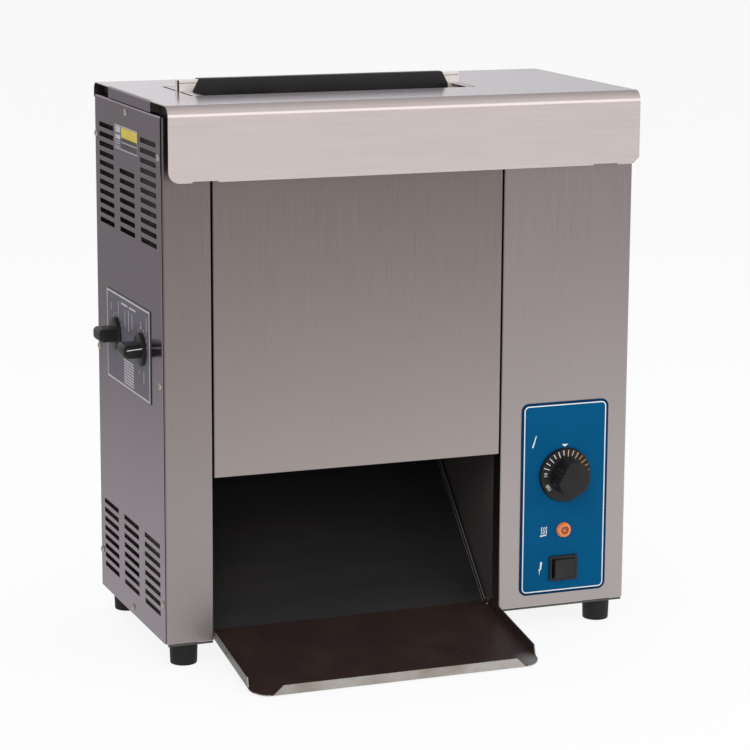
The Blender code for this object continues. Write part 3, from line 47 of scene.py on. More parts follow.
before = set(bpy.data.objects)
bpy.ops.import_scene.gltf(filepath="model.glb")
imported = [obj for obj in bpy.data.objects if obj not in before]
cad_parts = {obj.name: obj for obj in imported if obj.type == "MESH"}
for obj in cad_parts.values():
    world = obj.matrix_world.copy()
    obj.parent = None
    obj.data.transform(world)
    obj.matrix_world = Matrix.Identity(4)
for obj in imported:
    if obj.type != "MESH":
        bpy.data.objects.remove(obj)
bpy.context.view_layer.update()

ZERO = Vector((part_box("left_side_panel")[0].x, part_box("control_column")[0].y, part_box("left_side_panel")[0].z))
TINY = 0.00001
SHEET_GAP = 0.0003
OVERRUN = 0.006
SMOOTH_ANGLE = math.radians(34.0)
QUARTER = math.radians(90.0)
FLAT = 0.98
RIM_AREA = 0.0008
THIN_EDGE = 0.0003
FINE_EDGE = 0.0002
INK_RISE = 0.00012


def placed(node):
    """Low and high corners of a CAD node in the casing's own axes."""
    low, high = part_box(node)
    return low - ZERO, high - ZERO


# Settings that a user would change

def length_property(name, description, default):
    return FloatProperty(name=name, description=description, default=default, unit="LENGTH")


def colour_property(name, description, default):
    return FloatVectorProperty(name=name, description=description, default=default, subtype="COLOR",
                               size=3, min=0.0, max=1.0)


class ToasterSheetSettings(bpy.types.PropertyGroup):
    """Sizes of the folded sheet pieces."""

    wall: length_property("Sheet thickness", "Thickness of the casing's sheet", 0.0012)
    fold_radius: length_property("Fold radius", "Outer radius of the casing's folds", 0.0018)
    edge_softness: length_property("Edge softness", "Width of the worn edge of a sheet", 0.00025)
    brow_radius: length_property("Front brow radius", "Radius of the top cover's front edge", 0.0125)
    back_radius: length_property("Back edge radius", "Radius of the top cover's back edge", 0.009)
    skirt_corner: length_property("Skirt corner radius", "Radius of the skirt's left lower corner", 0.013)
    skirt_chamfer: length_property("Skirt corner cut", "Size of the skirt's right lower corner cut", 0.0075)
    notch_depth: length_property("Skirt notch depth", "Depth of the notches in the skirt's edge", 0.0015)
    slot_radius: length_property("Slot corner radius", "Corner radius of the air slots", 0.0009)
    tray_fold: length_property("Tray fold radius", "Radius of the tray's folds", 0.0022)


class ToasterControlSettings(bpy.types.PropertyGroup):
    """Sizes and counts of the controls."""

    panel_rim: length_property("Panel rim", "Width of the panel's dark rim", 0.0030)
    panel_line: length_property("Panel line", "Width of the panel's white line", 0.0013)
    dial_ticks: IntProperty(name="Dial ticks", description="Number of ticks on the dial", default=15)
    tick_width: length_property("Tick width", "Width of a dial tick", 0.0009)
    grip_softness: length_property("Grip softness", "Edge radius of the dial's grip", 0.0012)
    knob_softness: length_property("Knob softness", "End radius of the thickness knobs' bars", 0.0050)
    screw_radius: length_property("Screw head radius", "Radius of the casing's screw heads", 0.0042)


class ToasterColourSettings(bpy.types.PropertyGroup):
    """Colours of the finishes."""

    front_steel: colour_property("Front steel", "Brushed steel low on the front", (0.420, 0.386, 0.376))
    # Painted shade with a heat tint: the darker, pinker colour that the front steel fades to high up.
    front_shade_and_tint: colour_property("Front tint", "Heat tint high on the front", (0.330, 0.276, 0.284))
    top_steel: colour_property("Top steel", "Bright steel of the skirt and brow", (0.900, 0.790, 0.768))
    # Painted shade: the top faces of the top cover and the end plates take this darker lavender steel, unlike the
    # rest of the sheet.
    plate_steel: colour_property("Plate steel", "Polished steel of the top plate", (0.560, 0.505, 0.560))
    side_steel: colour_property("Side steel", "Darker steel of the sides", (0.355, 0.298, 0.341))
    coating: colour_property("Coating", "Dark coating of the chute", (0.0165, 0.0158, 0.0172))
    panel_blue: colour_property("Panel blue", "Field of the control panel", (0.0, 0.089, 0.220))
    panel_navy: colour_property("Panel navy", "Rim of the control panel", (0.0, 0.030, 0.100))
    ink: colour_property("Ink", "White marks", (0.86, 0.86, 0.86))
    ink_orange: colour_property("Orange ink", "Warm end of the dial's marks", (0.80, 0.33, 0.08))
    lens: colour_property("Lens", "Heater lamp lens", (0.92, 0.270, 0.075))
    black_plastic: colour_property("Black plastic", "Knobs and switch", (0.0115, 0.010, 0.0105))
    rubber: colour_property("Rubber", "Feet", (0.013, 0.0115, 0.013))
    plate_grey: colour_property("Plate grey", "Side plates", (0.130, 0.120, 0.146))
    plate_yellow: colour_property("Plate yellow", "Blank field on the upper side plate", (0.70, 0.52, 0.10))


# Finishes

# Sockets of a Mix node that blends colours.
COLOUR_A, COLOUR_B, COLOUR_RESULT = 6, 7, 2


def add_node(tree, kind, inputs=None, **settings):
    """Add a node to a tree, set its properties, and fill or link its inputs."""
    node = tree.nodes.new(kind)
    for key, value in settings.items():
        setattr(node, key, value)
    for key, value in (inputs or {}).items():
        if isinstance(value, bpy.types.NodeSocket):
            tree.links.new(value, node.inputs[key])
        else:
            node.inputs[key].default_value = value
    return node


def ranged(tree, value, from_low, from_high, to_low, to_high):
    """A value carried from one range to another."""
    node = add_node(tree, "ShaderNodeMapRange", {"Value": value, "From Min": from_low, "From Max": from_high,
                                                 "To Min": to_low, "To Max": to_high})
    return node.outputs["Result"]


def maths(tree, operation, *values):
    """Result of one operation on numbers or sockets."""
    return add_node(tree, "ShaderNodeMath", dict(enumerate(values)), operation=operation).outputs["Value"]


def distance(tree, place, centre):
    return add_node(tree, "ShaderNodeVectorMath", {0: place, 1: centre}, operation="DISTANCE").outputs["Value"]


class Finish:
    """A finish under construction: a principled surface and the nodes that feed it."""

    def __init__(self, name, sockets):
        self.material = bpy.data.materials.new(name)
        self.material.use_nodes = True
        self.tree = self.material.node_tree
        self.surface = self.tree.nodes["Principled BSDF"]
        self.normal = None
        for socket, value in sockets.items():
            self.surface.inputs[socket].default_value = value

    def place(self):
        return add_node(self.tree, "ShaderNodeTexCoord").outputs["Object"]

    def along(self, axis):
        return add_node(self.tree, "ShaderNodeSeparateXYZ", {"Vector": self.place()}).outputs[axis]

    def texture(self, kind, scale, offset=(0.0, 0.0, 0.0), **inputs):
        """A pattern on object coordinates, with one scale or its own along each axis."""
        if not isinstance(scale, tuple):
            scale = (scale,) * 3
        mapping = add_node(self.tree, "ShaderNodeMapping", {"Vector": self.place(), "Scale": scale,
                                                            "Location": offset})
        return add_node(self.tree, kind, {"Vector": mapping.outputs["Vector"], "Scale": 1.0, **inputs})

    def noise(self, scale, detail, rough, offset=(0.0, 0.0, 0.0)):
        node = self.texture("ShaderNodeTexNoise", scale, offset, Detail=detail, Roughness=rough)
        return node.outputs["Fac"]

    def cells(self, scale):
        return self.texture("ShaderNodeTexVoronoi", scale).outputs["Distance"]

    def waves(self, scale, direction):
        wave = add_node(self.tree, "ShaderNodeTexWave", {"Vector": self.place(), "Scale": scale},
                        wave_type="BANDS", bands_direction=direction)
        return wave.outputs["Fac"]

    def spread(self, value, to_low, to_high, from_low=0.3, from_high=0.7):
        return ranged(self.tree, value, from_low, from_high, to_low, to_high)

    def mix(self, factor, first, second):
        """Blend two colours, each a colour or another mix."""
        node = add_node(self.tree, "ShaderNodeMix", data_type="RGBA")
        self.tree.links.new(factor, node.inputs["Factor"])
        for index, value in ((COLOUR_A, first), (COLOUR_B, second)):
            if isinstance(value, bpy.types.NodeSocket):
                self.tree.links.new(value, node.inputs[index])
            else:
                node.inputs[index].default_value = (*value[:3], 1.0)
        return node.outputs[COLOUR_RESULT]

    def mottled(self, pattern, colour, dark, light):
        """A colour that a pattern varies between two shares of itself."""
        return self.mix(self.spread(pattern, 0.0, 1.0), shade(colour, dark), shade(colour, light))

    def height(self, low, high):
        """Zero at one height of the casing and one at another."""
        return self.spread(self.along("Z"), 0.0, 1.0, ZERO.z + low, ZERO.z + high)

    def near(self, place, full=0.004, none=0.027):
        """One close to a place of the casing, falling to zero further off."""
        return self.spread(distance(self.tree, self.place(), ZERO + Vector(place)), 1.0, 0.0, full, none)

    def outside(self, centre, reach):
        """One on what lies further to the left or right of a centre than reach, else zero."""
        away = maths(self.tree, "ABSOLUTE", maths(self.tree, "SUBTRACT", self.along("X"), ZERO.x + centre))
        return self.spread(away, 0.0, 1.0, reach - 0.0001, reach + 0.0001)

    def feed(self, colour, roughness=None):
        """Link the surface's colour and roughness."""
        self.tree.links.new(colour, self.surface.inputs["Base Color"])
        if roughness is not None:
            self.tree.links.new(roughness, self.surface.inputs["Roughness"])

    def bump(self, height, strength, depth):
        inputs = {"Height": height, "Strength": strength, "Distance": depth}
        if self.normal is not None:
            inputs["Normal"] = self.normal
        self.normal = add_node(self.tree, "ShaderNodeBump", inputs).outputs["Normal"]
        self.tree.links.new(self.normal, self.surface.inputs["Normal"])


def shade(colour, share):
    """The same colour, lighter or darker."""
    return tuple(min(1.0, channel * share) for channel in colour[:3])


def recast(colour, shares):
    """A colour with its own share of each channel."""
    return tuple(channel * share for channel, share in zip(colour, shares))


# Heights between which the painted shade and heat tint high on the front come in.
SHADE_AND_TINT_HEIGHTS = (0.14, 0.52)
UNCOATED = (0.26, 0.225, 0.215)
WALL_COLOURS = ((0.065, 0.058, 0.058), (0.080, 0.068, 0.062))
UPRIGHT_GRAIN = (900.0, 900.0, 5.0)
FRONT_GRAIN = (1300.0, 1300.0, 14.0)
LEVEL_GRAIN = (9.0, 620.0, 620.0)


def brushed(name, colour, roughness, grain, contrast, cloud, ripple=0.0, tint=None, metal=1.0,
            edge=1.0, cast=(1.0, 1.0, 1.0), shade_band=None):
    """Brushed steel: fine streaks along the brushing, broad clouding and a slight ripple.

    shade_band gives two heights and the share of the colour that is left at the second one, for a band of painted
    shade."""
    finish = Finish(name, {"Metallic": metal, "Roughness": roughness, "Specular Tint": (edge, edge, edge, 1.0)})
    streak = finish.noise(grain, 4.0, 0.65)
    broad = finish.noise((7.0, 7.0, 5.0), 2.0, 0.5)
    fine = finish.noise(tuple(value * 2.7 for value in grain), 2.0, 0.6, (3.1, 1.7, 0.4))
    dark, light = 1.0 - contrast, 1.0 + contrast
    fine_mix = finish.mix(finish.spread(fine, 0.0, 0.35), finish.mottled(streak, colour, dark, light),
                          shade(colour, 1.0 - 1.5 * contrast))
    clouded = finish.mix(finish.spread(broad, 0.0, 0.5), fine_mix, shade(recast(colour, cast), 1.0 + cloud))
    # tint is the darker colour that the front fades to high up: painted shade with a heat tint.
    if tint:
        shaded_and_tinted = finish.mix(finish.spread(broad, 0.0, 0.6), finish.mottled(streak, tint, dark, light),
                            shade(recast(tint, cast), 1.0 + cloud))
        clouded = finish.mix(finish.height(*SHADE_AND_TINT_HEIGHTS), clouded, shaded_and_tinted)
    if shade_band:
        low, high, share = shade_band
        clouded = finish.mix(finish.height(low, high), clouded, shade(colour, share))
    finish.feed(clouded, finish.spread(streak, roughness * 0.85, roughness * 1.2))
    finish.bump(streak, 0.3 * roughness, 0.00012)
    if ripple:
        finish.bump(finish.noise((4.0, 4.0, 3.0), 1.0, 0.4, (1.3, 0.2, 2.2)), ripple, 0.004)
    return finish.material


def seasoned(name, colour, roughness):
    """Tray steel darkened by heat: brown patches and fine rubbed scratches on a glossy sheet."""
    finish = Finish(name, {"Metallic": 1.0, "Roughness": roughness})
    patches = finish.noise(16.0, 5.0, 0.6)
    scratches = finish.noise((500.0, 30.0, 500.0), 3.0, 0.6)
    browned = finish.mix(finish.spread(patches, 0.0, 1.0, 0.42, 0.68), colour,
                         shade(recast(colour, (1.0, 0.9, 0.8)), 0.72))
    finish.feed(finish.mix(finish.spread(scratches, 0.0, 0.4), browned, shade(colour, 0.6)),
                finish.spread(patches, roughness * 0.8, roughness * 1.5))
    finish.bump(scratches, 0.05, 0.0001)
    return finish.material


def coated(name, colour, stain, roughness, lit_patch=None, spread_out=22.0, zinc=None):
    """Dark baked coating with faint brown stains, and a lighter patch round the place that lit_patch gives: a
    painted reflection.

    zinc gives a centre and a reach, past which the sheet is left uncoated."""
    finish = Finish(name, {"Roughness": roughness, "Specular IOR Level": 0.5})
    patches = finish.noise(spread_out, 5.0, 0.6)
    specks = finish.noise(260.0, 2.0, 0.5)
    stained = finish.mix(finish.spread(patches, 0.0, 1.0, 0.45, 0.75), colour, stain)
    specked = finish.mix(finish.spread(specks, 0.0, 0.5, 0.55, 0.8), stained, shade(stain, 1.4))
    # A lighter patch round one place: painted reflection.
    if lit_patch:
        place, metal = lit_patch
        specked = finish.mix(finish.near(place), specked, metal)
    if zinc:
        specked = finish.mix(finish.outside(*zinc), specked, UNCOATED)
    finish.feed(specked, finish.spread(patches, roughness - 0.06, roughness + 0.12))
    finish.bump(specks, 0.12, 0.0002)
    return finish.material


def moulded(name, colour, roughness, grain=900.0, strength=0.12, clear=0.0):
    """Moulded plastic or rubber with a fine spark grain and slight rubbing."""
    finish = Finish(name, {"Roughness": roughness, "Specular IOR Level": 0.3, "Coat Weight": clear,
                           "Coat Roughness": 0.12})
    rub = finish.noise(45.0, 3.0, 0.6)
    finish.feed(finish.mottled(rub, colour, 0.85, 1.3), finish.spread(rub, roughness - 0.05, roughness + 0.07))
    finish.bump(finish.noise(grain, 2.0, 0.5), strength, 0.0001)
    return finish.material


def printed(name, colour, roughness):
    """Printed film: an even colour under a lightly textured clear face."""
    finish = Finish(name, {"Roughness": roughness, "Specular IOR Level": 0.05})
    finish.feed(finish.mottled(finish.noise(30.0, 3.0, 0.55), colour, 0.96, 1.05))
    finish.bump(finish.noise(1500.0, 1.0, 0.5), 0.05, 0.00005)
    return finish.material


def plain_metal(name, colour, roughness, grain, metal=1.0, spangle=False):
    """Machined, cast or galvanised metal with its own mottle."""
    finish = Finish(name, {"Metallic": metal, "Roughness": roughness})
    mottle = finish.cells(grain) if spangle else finish.noise(grain, 4.0, 0.6)
    finish.feed(finish.mottled(mottle, colour, 0.82, 1.12),
                finish.spread(mottle, roughness - 0.06, roughness + 0.1))
    finish.bump(mottle, 0.06, 0.0002)
    return finish.material


def woven(name, colour, scale, roughness):
    """Coated cloth: a fine plain weave under a smooth coat."""
    finish = Finish(name, {"Roughness": roughness})
    weave = maths(finish.tree, "MULTIPLY", finish.waves(scale, "X"), finish.waves(scale, "Z"))
    wear = finish.noise((30.0, 30.0, 12.0), 4.0, 0.6)
    finish.feed(finish.mottled(wear, colour, 0.8, 1.35), finish.spread(wear, roughness - 0.05, roughness + 0.1))
    finish.bump(weave, 0.15, 0.0002)
    return finish.material


def lens_finish(name, colour):
    """Orange lamp lens: clear coat over a tinted body with a moulded pattern."""
    finish = Finish(name, {"Roughness": 0.25, "Coat Weight": 0.6, "Coat Roughness": 0.08,
                           "Subsurface Weight": 0.15, "Subsurface Radius": (0.004, 0.001, 0.0005)})
    finish.feed(finish.mottled(finish.noise(180.0, 2.0, 0.5), colour, 0.85, 1.1))
    return finish.material


FINISHES = {}

# Shares of the front steel's colour low and high on each front sheet: painted light and shade, the left column
# darker and the control column lighter high up.
FRONT_SHADES = {
    "left_front_column": ((0.89, 0.86, 0.87), (0.88, 0.86, 0.80)),
    "front_cover": ((1.015, 0.985, 0.957), (0.918, 0.888, 0.831)),
    "control_column": ((1.0, 1.0, 0.987), (1.197, 1.17, 1.19)),
}


def make_finishes(colours):
    """Make every finish once, from the colour settings."""
    outer_left = placed("left_inner_wall")[0].x
    outer_right = placed("right_inner_wall")[1].x
    bay_centre = (outer_left + outer_right) / 2
    for node, (low_share, high_share) in FRONT_SHADES.items():
        FINISHES[node] = brushed(node + "_brushed_steel", recast(colours.front_steel, low_share), 0.30,
                                 FRONT_GRAIN, 0.022, 0.05, 0.06, tint=recast(colours.front_shade_and_tint, high_share),
                                 cast=(1.0, 0.985, 1.02))
    brow_top = placed("top_cover")[1].z
    FINISHES.update({
        # Painted shade: the top steel darkens high on the brow and back edge, where they mirror a dark surround.
        "top_steel": brushed("top_brushed_steel", colours.top_steel, 0.17, LEVEL_GRAIN, 0.065, 0.04, 0.04,
                             metal=0.66, shade_band=(brow_top - 0.0068, brow_top - 0.0014, 0.66)),
        # Painted shade: given to the top cover's upward faces and the end plates' tops.
        "plate_steel": brushed("top_plate_steel", colours.plate_steel, 0.15, LEVEL_GRAIN, 0.015, 0.02,
                               metal=0.7),
        "cap_steel": brushed("cap_bright_steel", (0.97, 0.91, 0.85), 0.30, LEVEL_GRAIN, 0.03, 0.02,
                             metal=0.45),
        "lip_steel": seasoned("tray_lip_steel", (0.54, 0.51, 0.48), 0.30),
        "wall_coating": coated("wall_coating", *WALL_COLOURS, 0.4),
        "inner_wall": coated("inner_wall_coating", *WALL_COLOURS, 0.4,
                             zinc=(bay_centre, outer_right - bay_centre - 0.0004)),
        # Grey coating of the tray's sides and the chute's rims, and painted shade along the cap's crease.
        "grey_coating_and_crease_shade": coated("grey_coating_and_crease_shade", (0.15, 0.14, 0.14), (0.19, 0.175, 0.165), 0.36),
        "side_steel": brushed("side_brushed_steel", colours.side_steel, 0.18, UPRIGHT_GRAIN, 0.035, 0.08, 0.04,
                              edge=0.75),
        "screw_steel": plain_metal("screw_steel", (0.50, 0.46, 0.41), 0.35, 600.0, 0.6),
        # Painted reflection: a lighter patch round the tray's front right corner.
        "tray_coating": coated("tray_coating", (0.030, 0.018, 0.017), (0.042, 0.025, 0.020), 0.30,
                               lit_patch=((placed("bun_tray")[1].x - 0.010, -0.129, -0.022), (0.20, 0.19, 0.175))),
        "coating": coated("dark_baked_coating", colours.coating, (0.023, 0.018, 0.016), 0.34,
                          spread_out=(4.0, 26.0, 26.0)),
        # Painted shade: near-black for the inside of the top cover, the strips under its corners and the edges of
        # the end plates.
        "cavity_shade": coated("painted_cavity_shade", (0.016, 0.015, 0.016), (0.026, 0.019, 0.015), 0.42),
        "galvanised": plain_metal("galvanised_sheet", (0.44, 0.41, 0.39), 0.42, 90.0, 0.5, spangle=True),
        "machined": plain_metal("machined_steel", (0.46, 0.46, 0.47), 0.28, (40.0, 700.0, 700.0)),
        "cast": plain_metal("cast_aluminium", (0.50, 0.50, 0.52), 0.45, 350.0),
        "sheath": plain_metal("heater_sheath", (0.40, 0.30, 0.18), 0.38, 120.0),
        "motor_paint": moulded("motor_paint", (0.07, 0.07, 0.075), 0.5, 500.0),
        "belt": woven("silicone_belt", (0.16, 0.12, 0.085), 260.0, 0.6),
        "release_cloth": woven("release_cloth", (0.014, 0.012, 0.013), 420.0, 0.34),
        "black": moulded("black_plastic", colours.black_plastic, 0.36),
        # Lighter grey: a painted highlight on the dial's ribs, and dark print on the upper side plate.
        "rib_grey": moulded("rib_highlight_and_dark_print", (0.055, 0.052, 0.055), 0.4),
        "switch_black": moulded("switch_plastic", colours.black_plastic, 0.30, 1200.0, 0.05, 0.1),
        "rubber": moulded("foot_rubber", colours.rubber, 0.62, 600.0, 0.2),
        "blue": printed("panel_blue_film", colours.panel_blue, 0.38),
        "navy": printed("panel_navy_film", colours.panel_navy, 0.34),
        "ink": printed("white_ink", colours.ink, 0.45),
        "ink_cream": printed("cream_ink", (0.74, 0.60, 0.42), 0.45),
        "ink_orange": printed("orange_ink", colours.ink_orange, 0.45),
        "plate_grey": printed("side_plate_film", colours.plate_grey, 0.30),
        "plate_line": printed("side_plate_line", (0.52, 0.50, 0.53), 0.35),
        "plate_yellow": printed("side_plate_yellow", colours.plate_yellow, 0.4),
        "lens": lens_finish("amber_lens", colours.lens),
        "lens_deep": lens_finish("amber_lens_deep", shade(colours.lens, 0.25)),
    })


# Mesh helpers

def moved_verts(made):
    return [item for item in made["geom"] if isinstance(item, bmesh.types.BMVert)]


def bevel_edges(bm, edges, radius, segments=4):
    bmesh.ops.bevel(bm, geom=edges, offset=radius, offset_type="OFFSET", segments=segments,
                    profile=0.5, affect="EDGES", material=-1)


def shift(bm, step):
    bmesh.ops.translate(bm, vec=step, verts=bm.verts)


def turn(bm, angle, axis):
    bmesh.ops.rotate(bm, cent=(0, 0, 0), matrix=Matrix.Rotation(angle, 3, axis), verts=bm.verts)


def block(low, high):
    """A plain box between two corners, for shaping further."""
    low = Vector(low)
    high = Vector(high)
    bm = bmesh.new()
    bmesh.ops.create_cube(bm, size=1.0)
    bmesh.ops.scale(bm, vec=high - low, verts=bm.verts)
    shift(bm, (low + high) / 2)
    return bm


def direction(edge):
    return (edge.verts[0].co - edge.verts[1].co).normalized()


def parallel_edges(bm, axis):
    """Edges that run along one axis."""
    return [edge for edge in bm.edges if abs(abs(direction(edge)[axis]) - 1.0) < TINY]


def folds_of(bm):
    """Edges between two faces of a sheet."""
    return [edge for edge in bm.edges if len(edge.link_faces) == 2]


def soft_block(low, high, radius, axis=None, segments=4):
    """A box with its edges rounded, all of them or only those along one axis."""
    bm = block(low, high)
    edges = bm.edges[:] if axis is None else parallel_edges(bm, axis)
    bevel_edges(bm, edges, radius, segments)
    return bm


def merge(parts):
    """One mesh of several, each part keeping its own finish number."""
    whole = bmesh.new()
    for part in parts:
        bm, index = part if isinstance(part, tuple) else (part, None)
        if index is not None:
            for face in bm.faces:
                face.material_index = index
        mesh = bpy.data.meshes.new("part")
        bm.to_mesh(mesh)
        bm.free()
        whole.from_mesh(mesh)
        bpy.data.meshes.remove(mesh)
    return whole


# Turns that aim a shape built along Z.
AIMS = {"Z": Matrix.Identity(4), "X": Matrix.Rotation(QUARTER, 4, "Y"), "-X": Matrix.Rotation(-QUARTER, 4, "Y"),
        "Y": Matrix.Rotation(-QUARTER, 4, "X"), "-Y": Matrix.Rotation(QUARTER, 4, "X")}


def spun(profile, steps, axis="Z", centre=(0.0, 0.0, 0.0)):
    """Spin (radius, height) points into a closed round shape, then aim it along an axis."""
    bm = bmesh.new()
    line = [bm.verts.new((radius, 0.0, height)) for radius, height in profile]
    for pair in zip(line, line[1:]):
        bm.edges.new(pair)
    bmesh.ops.spin(bm, geom=bm.verts[:] + bm.edges[:], cent=(0, 0, 0), axis=(0, 0, 1),
                   angle=2 * math.pi, steps=steps, use_merge=True)
    bmesh.ops.remove_doubles(bm, verts=bm.verts, dist=TINY)
    bmesh.ops.recalc_face_normals(bm, faces=bm.faces)
    bmesh.ops.transform(bm, matrix=Matrix.Translation(centre) @ AIMS[axis], verts=bm.verts)
    return bm


def folded(points, radii, run, outward, segments=6):
    """An open line of points drawn along run into a sheet, with each fold rounded."""
    bm = bmesh.new()
    row = [bm.verts.new(point) for point in points]
    line = [bm.edges.new(pair) for pair in zip(row, row[1:])]
    made = bmesh.ops.extrude_edge_only(bm, edges=line)
    bmesh.ops.translate(bm, vec=run, verts=moved_verts(made))
    way = Vector(run).normalized()
    for point, radius in zip(points[1:-1], radii):
        corner = Vector(point)
        fold = [edge for edge in folds_of(bm)
                if all((vert.co - corner).cross(way).length < TINY for vert in edge.verts)]
        bevel_edges(bm, fold, radius, segments)
    face_out(bm, points[0], outward)
    return bm


def face_out(bm, point, outward):
    """Turn a sheet's faces so that the one nearest a point looks outward."""
    bm.normal_update()
    near = min(bm.faces, key=lambda face: (face.calc_center_median() - Vector(point)).length)
    if near.normal.dot(Vector(outward)) < 0:
        bmesh.ops.reverse_faces(bm, faces=bm.faces)


def bake(obj):
    """Apply an object's modifiers, so that it needs nothing else in the file."""
    graph = bpy.context.evaluated_depsgraph_get()
    mesh = bpy.data.meshes.new_from_object(obj.evaluated_get(graph))
    obj.modifiers.clear()
    obj.data = mesh


def scratch_object(name, bm):
    mesh = bpy.data.meshes.new(name)
    bm.to_mesh(mesh)
    bm.free()
    obj = bpy.data.objects.new(name, mesh)
    bpy.context.scene.collection.objects.link(obj)
    return obj


def carve(obj, cutter):
    """Cut a mesh out of an object and drop the cutter."""
    tool = scratch_object("cutter", cutter)
    modifier = obj.modifiers.new("cut", "BOOLEAN")
    modifier.operation = "DIFFERENCE"
    modifier.solver = "EXACT"
    modifier.object = tool
    bake(obj)
    bpy.data.objects.remove(tool, do_unlink=True)


def carved(bm, cutters):
    """A mesh with cutters cut out of it, for shaping further."""
    obj = scratch_object("carved", bm)
    for cutter in cutters:
        carve(obj, cutter)
    result = bmesh.new()
    result.from_mesh(obj.data)
    bpy.data.objects.remove(obj, do_unlink=True)
    return result


def drum(radius, depth, steps, axis, centre, softness=0.0):
    """A cylinder or prism along X or Y, with its edges softened if asked."""
    bm = bmesh.new()
    bmesh.ops.create_cone(bm, cap_ends=True, segments=steps, radius1=radius, radius2=radius, depth=depth)
    if softness:
        bevel_edges(bm, bm.edges[:], softness, 2)
    turn(bm, QUARTER, {"X": "Y", "Y": "X"}[axis])
    shift(bm, centre)
    return bm


def make_piece(name, bm, finishes, body="casing", replaces=(), wall=0.0, cutters=(), soften=0.0,
               dress=None, lining=0):
    """Finish a mesh as a named piece: wall, cuts, soft edges, place, finishes and body."""
    shift(bm, ZERO)
    obj = scratch_object(name, bm)
    for finish in finishes:
        obj.data.materials.append(FINISHES[finish])
    if wall:
        shell = obj.modifiers.new("wall", "SOLIDIFY")
        shell.thickness = wall
        shell.offset = -1.0
        shell.use_even_offset = True
        shell.material_offset = lining
        bake(obj)
    for cutter in cutters:
        shift(cutter, ZERO)
        carve(obj, cutter)
    if soften:
        edge = obj.modifiers.new("edge", "BEVEL")
        edge.width = soften
        edge.segments = 2
        edge.limit_method = "ANGLE"
        edge.angle_limit = SMOOTH_ANGLE
        bake(obj)
    if dress:
        for polygon in obj.data.polygons:
            polygon.material_index = dress(polygon)
    obj.data.shade_smooth()
    obj.data.set_sharp_from_angle(angle=SMOOTH_ANGLE)
    if wall or cutters:
        even = obj.modifiers.new("even", "WEIGHTED_NORMAL")
        even.mode = "FACE_AREA"
        even.weight = 100
        even.keep_sharp = True
        bake(obj)
    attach(obj, body)
    if replaces:
        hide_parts(*replaces)


def rounded_outline(left, bottom, width, height, radius, steps):
    """Corner points of a rectangle with round corners, anticlockwise."""
    right = left + width
    top = bottom + height
    corners = ((right - radius, bottom + radius, -90.0), (right - radius, top - radius, 0.0),
               (left + radius, top - radius, 90.0), (left + radius, bottom + radius, 180.0))
    outline = []
    for across, up, begin in corners:
        for step in range(steps + 1):
            angle = math.radians(begin + 90.0 * step / steps)
            outline.append((across + radius * math.cos(angle), up + radius * math.sin(angle)))
    return outline


def stamped(outline, axis, start, rise=INK_RISE):
    """A flat outline given thickness along -Y or -X, for plates, marks and ink."""
    bm = bmesh.new()
    if axis == "-Y":
        corners = [bm.verts.new((a, start, b)) for a, b in outline]
        step = (0.0, -rise, 0.0)
    else:
        corners = [bm.verts.new((start, a, b)) for a, b in outline]
        step = (-rise, 0.0, 0.0)
    face = bm.faces.new(corners)
    made = bmesh.ops.extrude_face_region(bm, geom=[face])
    bmesh.ops.translate(bm, vec=step, verts=moved_verts(made))
    bmesh.ops.recalc_face_normals(bm, faces=bm.faces)
    return bm


def bar_outline(start, end, width):
    """Outline of a straight stroke between two points."""
    start = Vector(start)
    end = Vector(end)
    side = (end - start).normalized().orthogonal() * width / 2
    return [tuple(start + side), tuple(end + side), tuple(end - side), tuple(start - side)]


def stroke(start, end, width, axis, face):
    """A straight ink stroke on a face."""
    return stamped(bar_outline(start, end, width), axis, face)


def numeral(text, size, depth):
    """A plain number as a mesh that lies in X and Z and faces -Y."""
    curve = bpy.data.curves.new("numeral", "FONT")
    curve.body = text
    curve.size = size
    curve.extrude = depth / 2
    curve.align_x = "CENTER"
    curve.align_y = "CENTER"
    curve.resolution_u = 3
    obj = bpy.data.objects.new("numeral", curve)
    bpy.context.scene.collection.objects.link(obj)
    graph = bpy.context.evaluated_depsgraph_get()
    mesh = bpy.data.meshes.new_from_object(obj.evaluated_get(graph))
    bm = bmesh.new()
    bm.from_mesh(mesh)
    bpy.data.objects.remove(obj, do_unlink=True)
    bpy.data.meshes.remove(mesh)
    bmesh.ops.remove_doubles(bm, verts=bm.verts, dist=TINY / 10)
    turn(bm, QUARTER, "X")
    return bm


# Casing sheets

SKIRT_NOTCHES = ((0.0274, 0.0570), (0.5087, 0.5393))
END_STRIP = 0.0030
STRIP_START, STRIP_END = 0.039, 0.209
BACK_FLANGE = 0.018
FEED_DEPTH = 0.115
FEED_MARGIN = 0.0006
END_PLATE_DEPTH = 0.0012
BAFFLE_LEFT, BAFFLE_RIGHT, BAFFLE_FRONT, BAFFLE_BACK = 0.0100, 0.0060, 0.0170, 0.0105
BAFFLE_GAP = 0.001
PANEL_LIP = 0.008
PANEL_FOLD = 0.0030


def quarter_cutter(corner_x, corner_z, radius, low_y, high_y):
    """Cutter that leaves a rounded lower left corner on the skirt."""
    bm = block((corner_x - OVERRUN, low_y, corner_z - OVERRUN),
               (corner_x + radius, high_y, corner_z + radius))
    centre = (corner_x + radius, (low_y + high_y) / 2, corner_z + radius)
    return carved(bm, [drum(radius, high_y - low_y + OVERRUN, 64, "Y", centre)])


def chamfer_cutter(corner_x, corner_z, size, low_y, high_y):
    """Cutter that leaves a straight cut on the skirt's lower right corner."""
    outline = [(corner_x - size - OVERRUN, corner_z - OVERRUN), (corner_x + OVERRUN, corner_z + size + OVERRUN),
               (corner_x + 2 * OVERRUN, corner_z - OVERRUN)]
    return stamped(outline, "-Y", high_y, high_y - low_y)


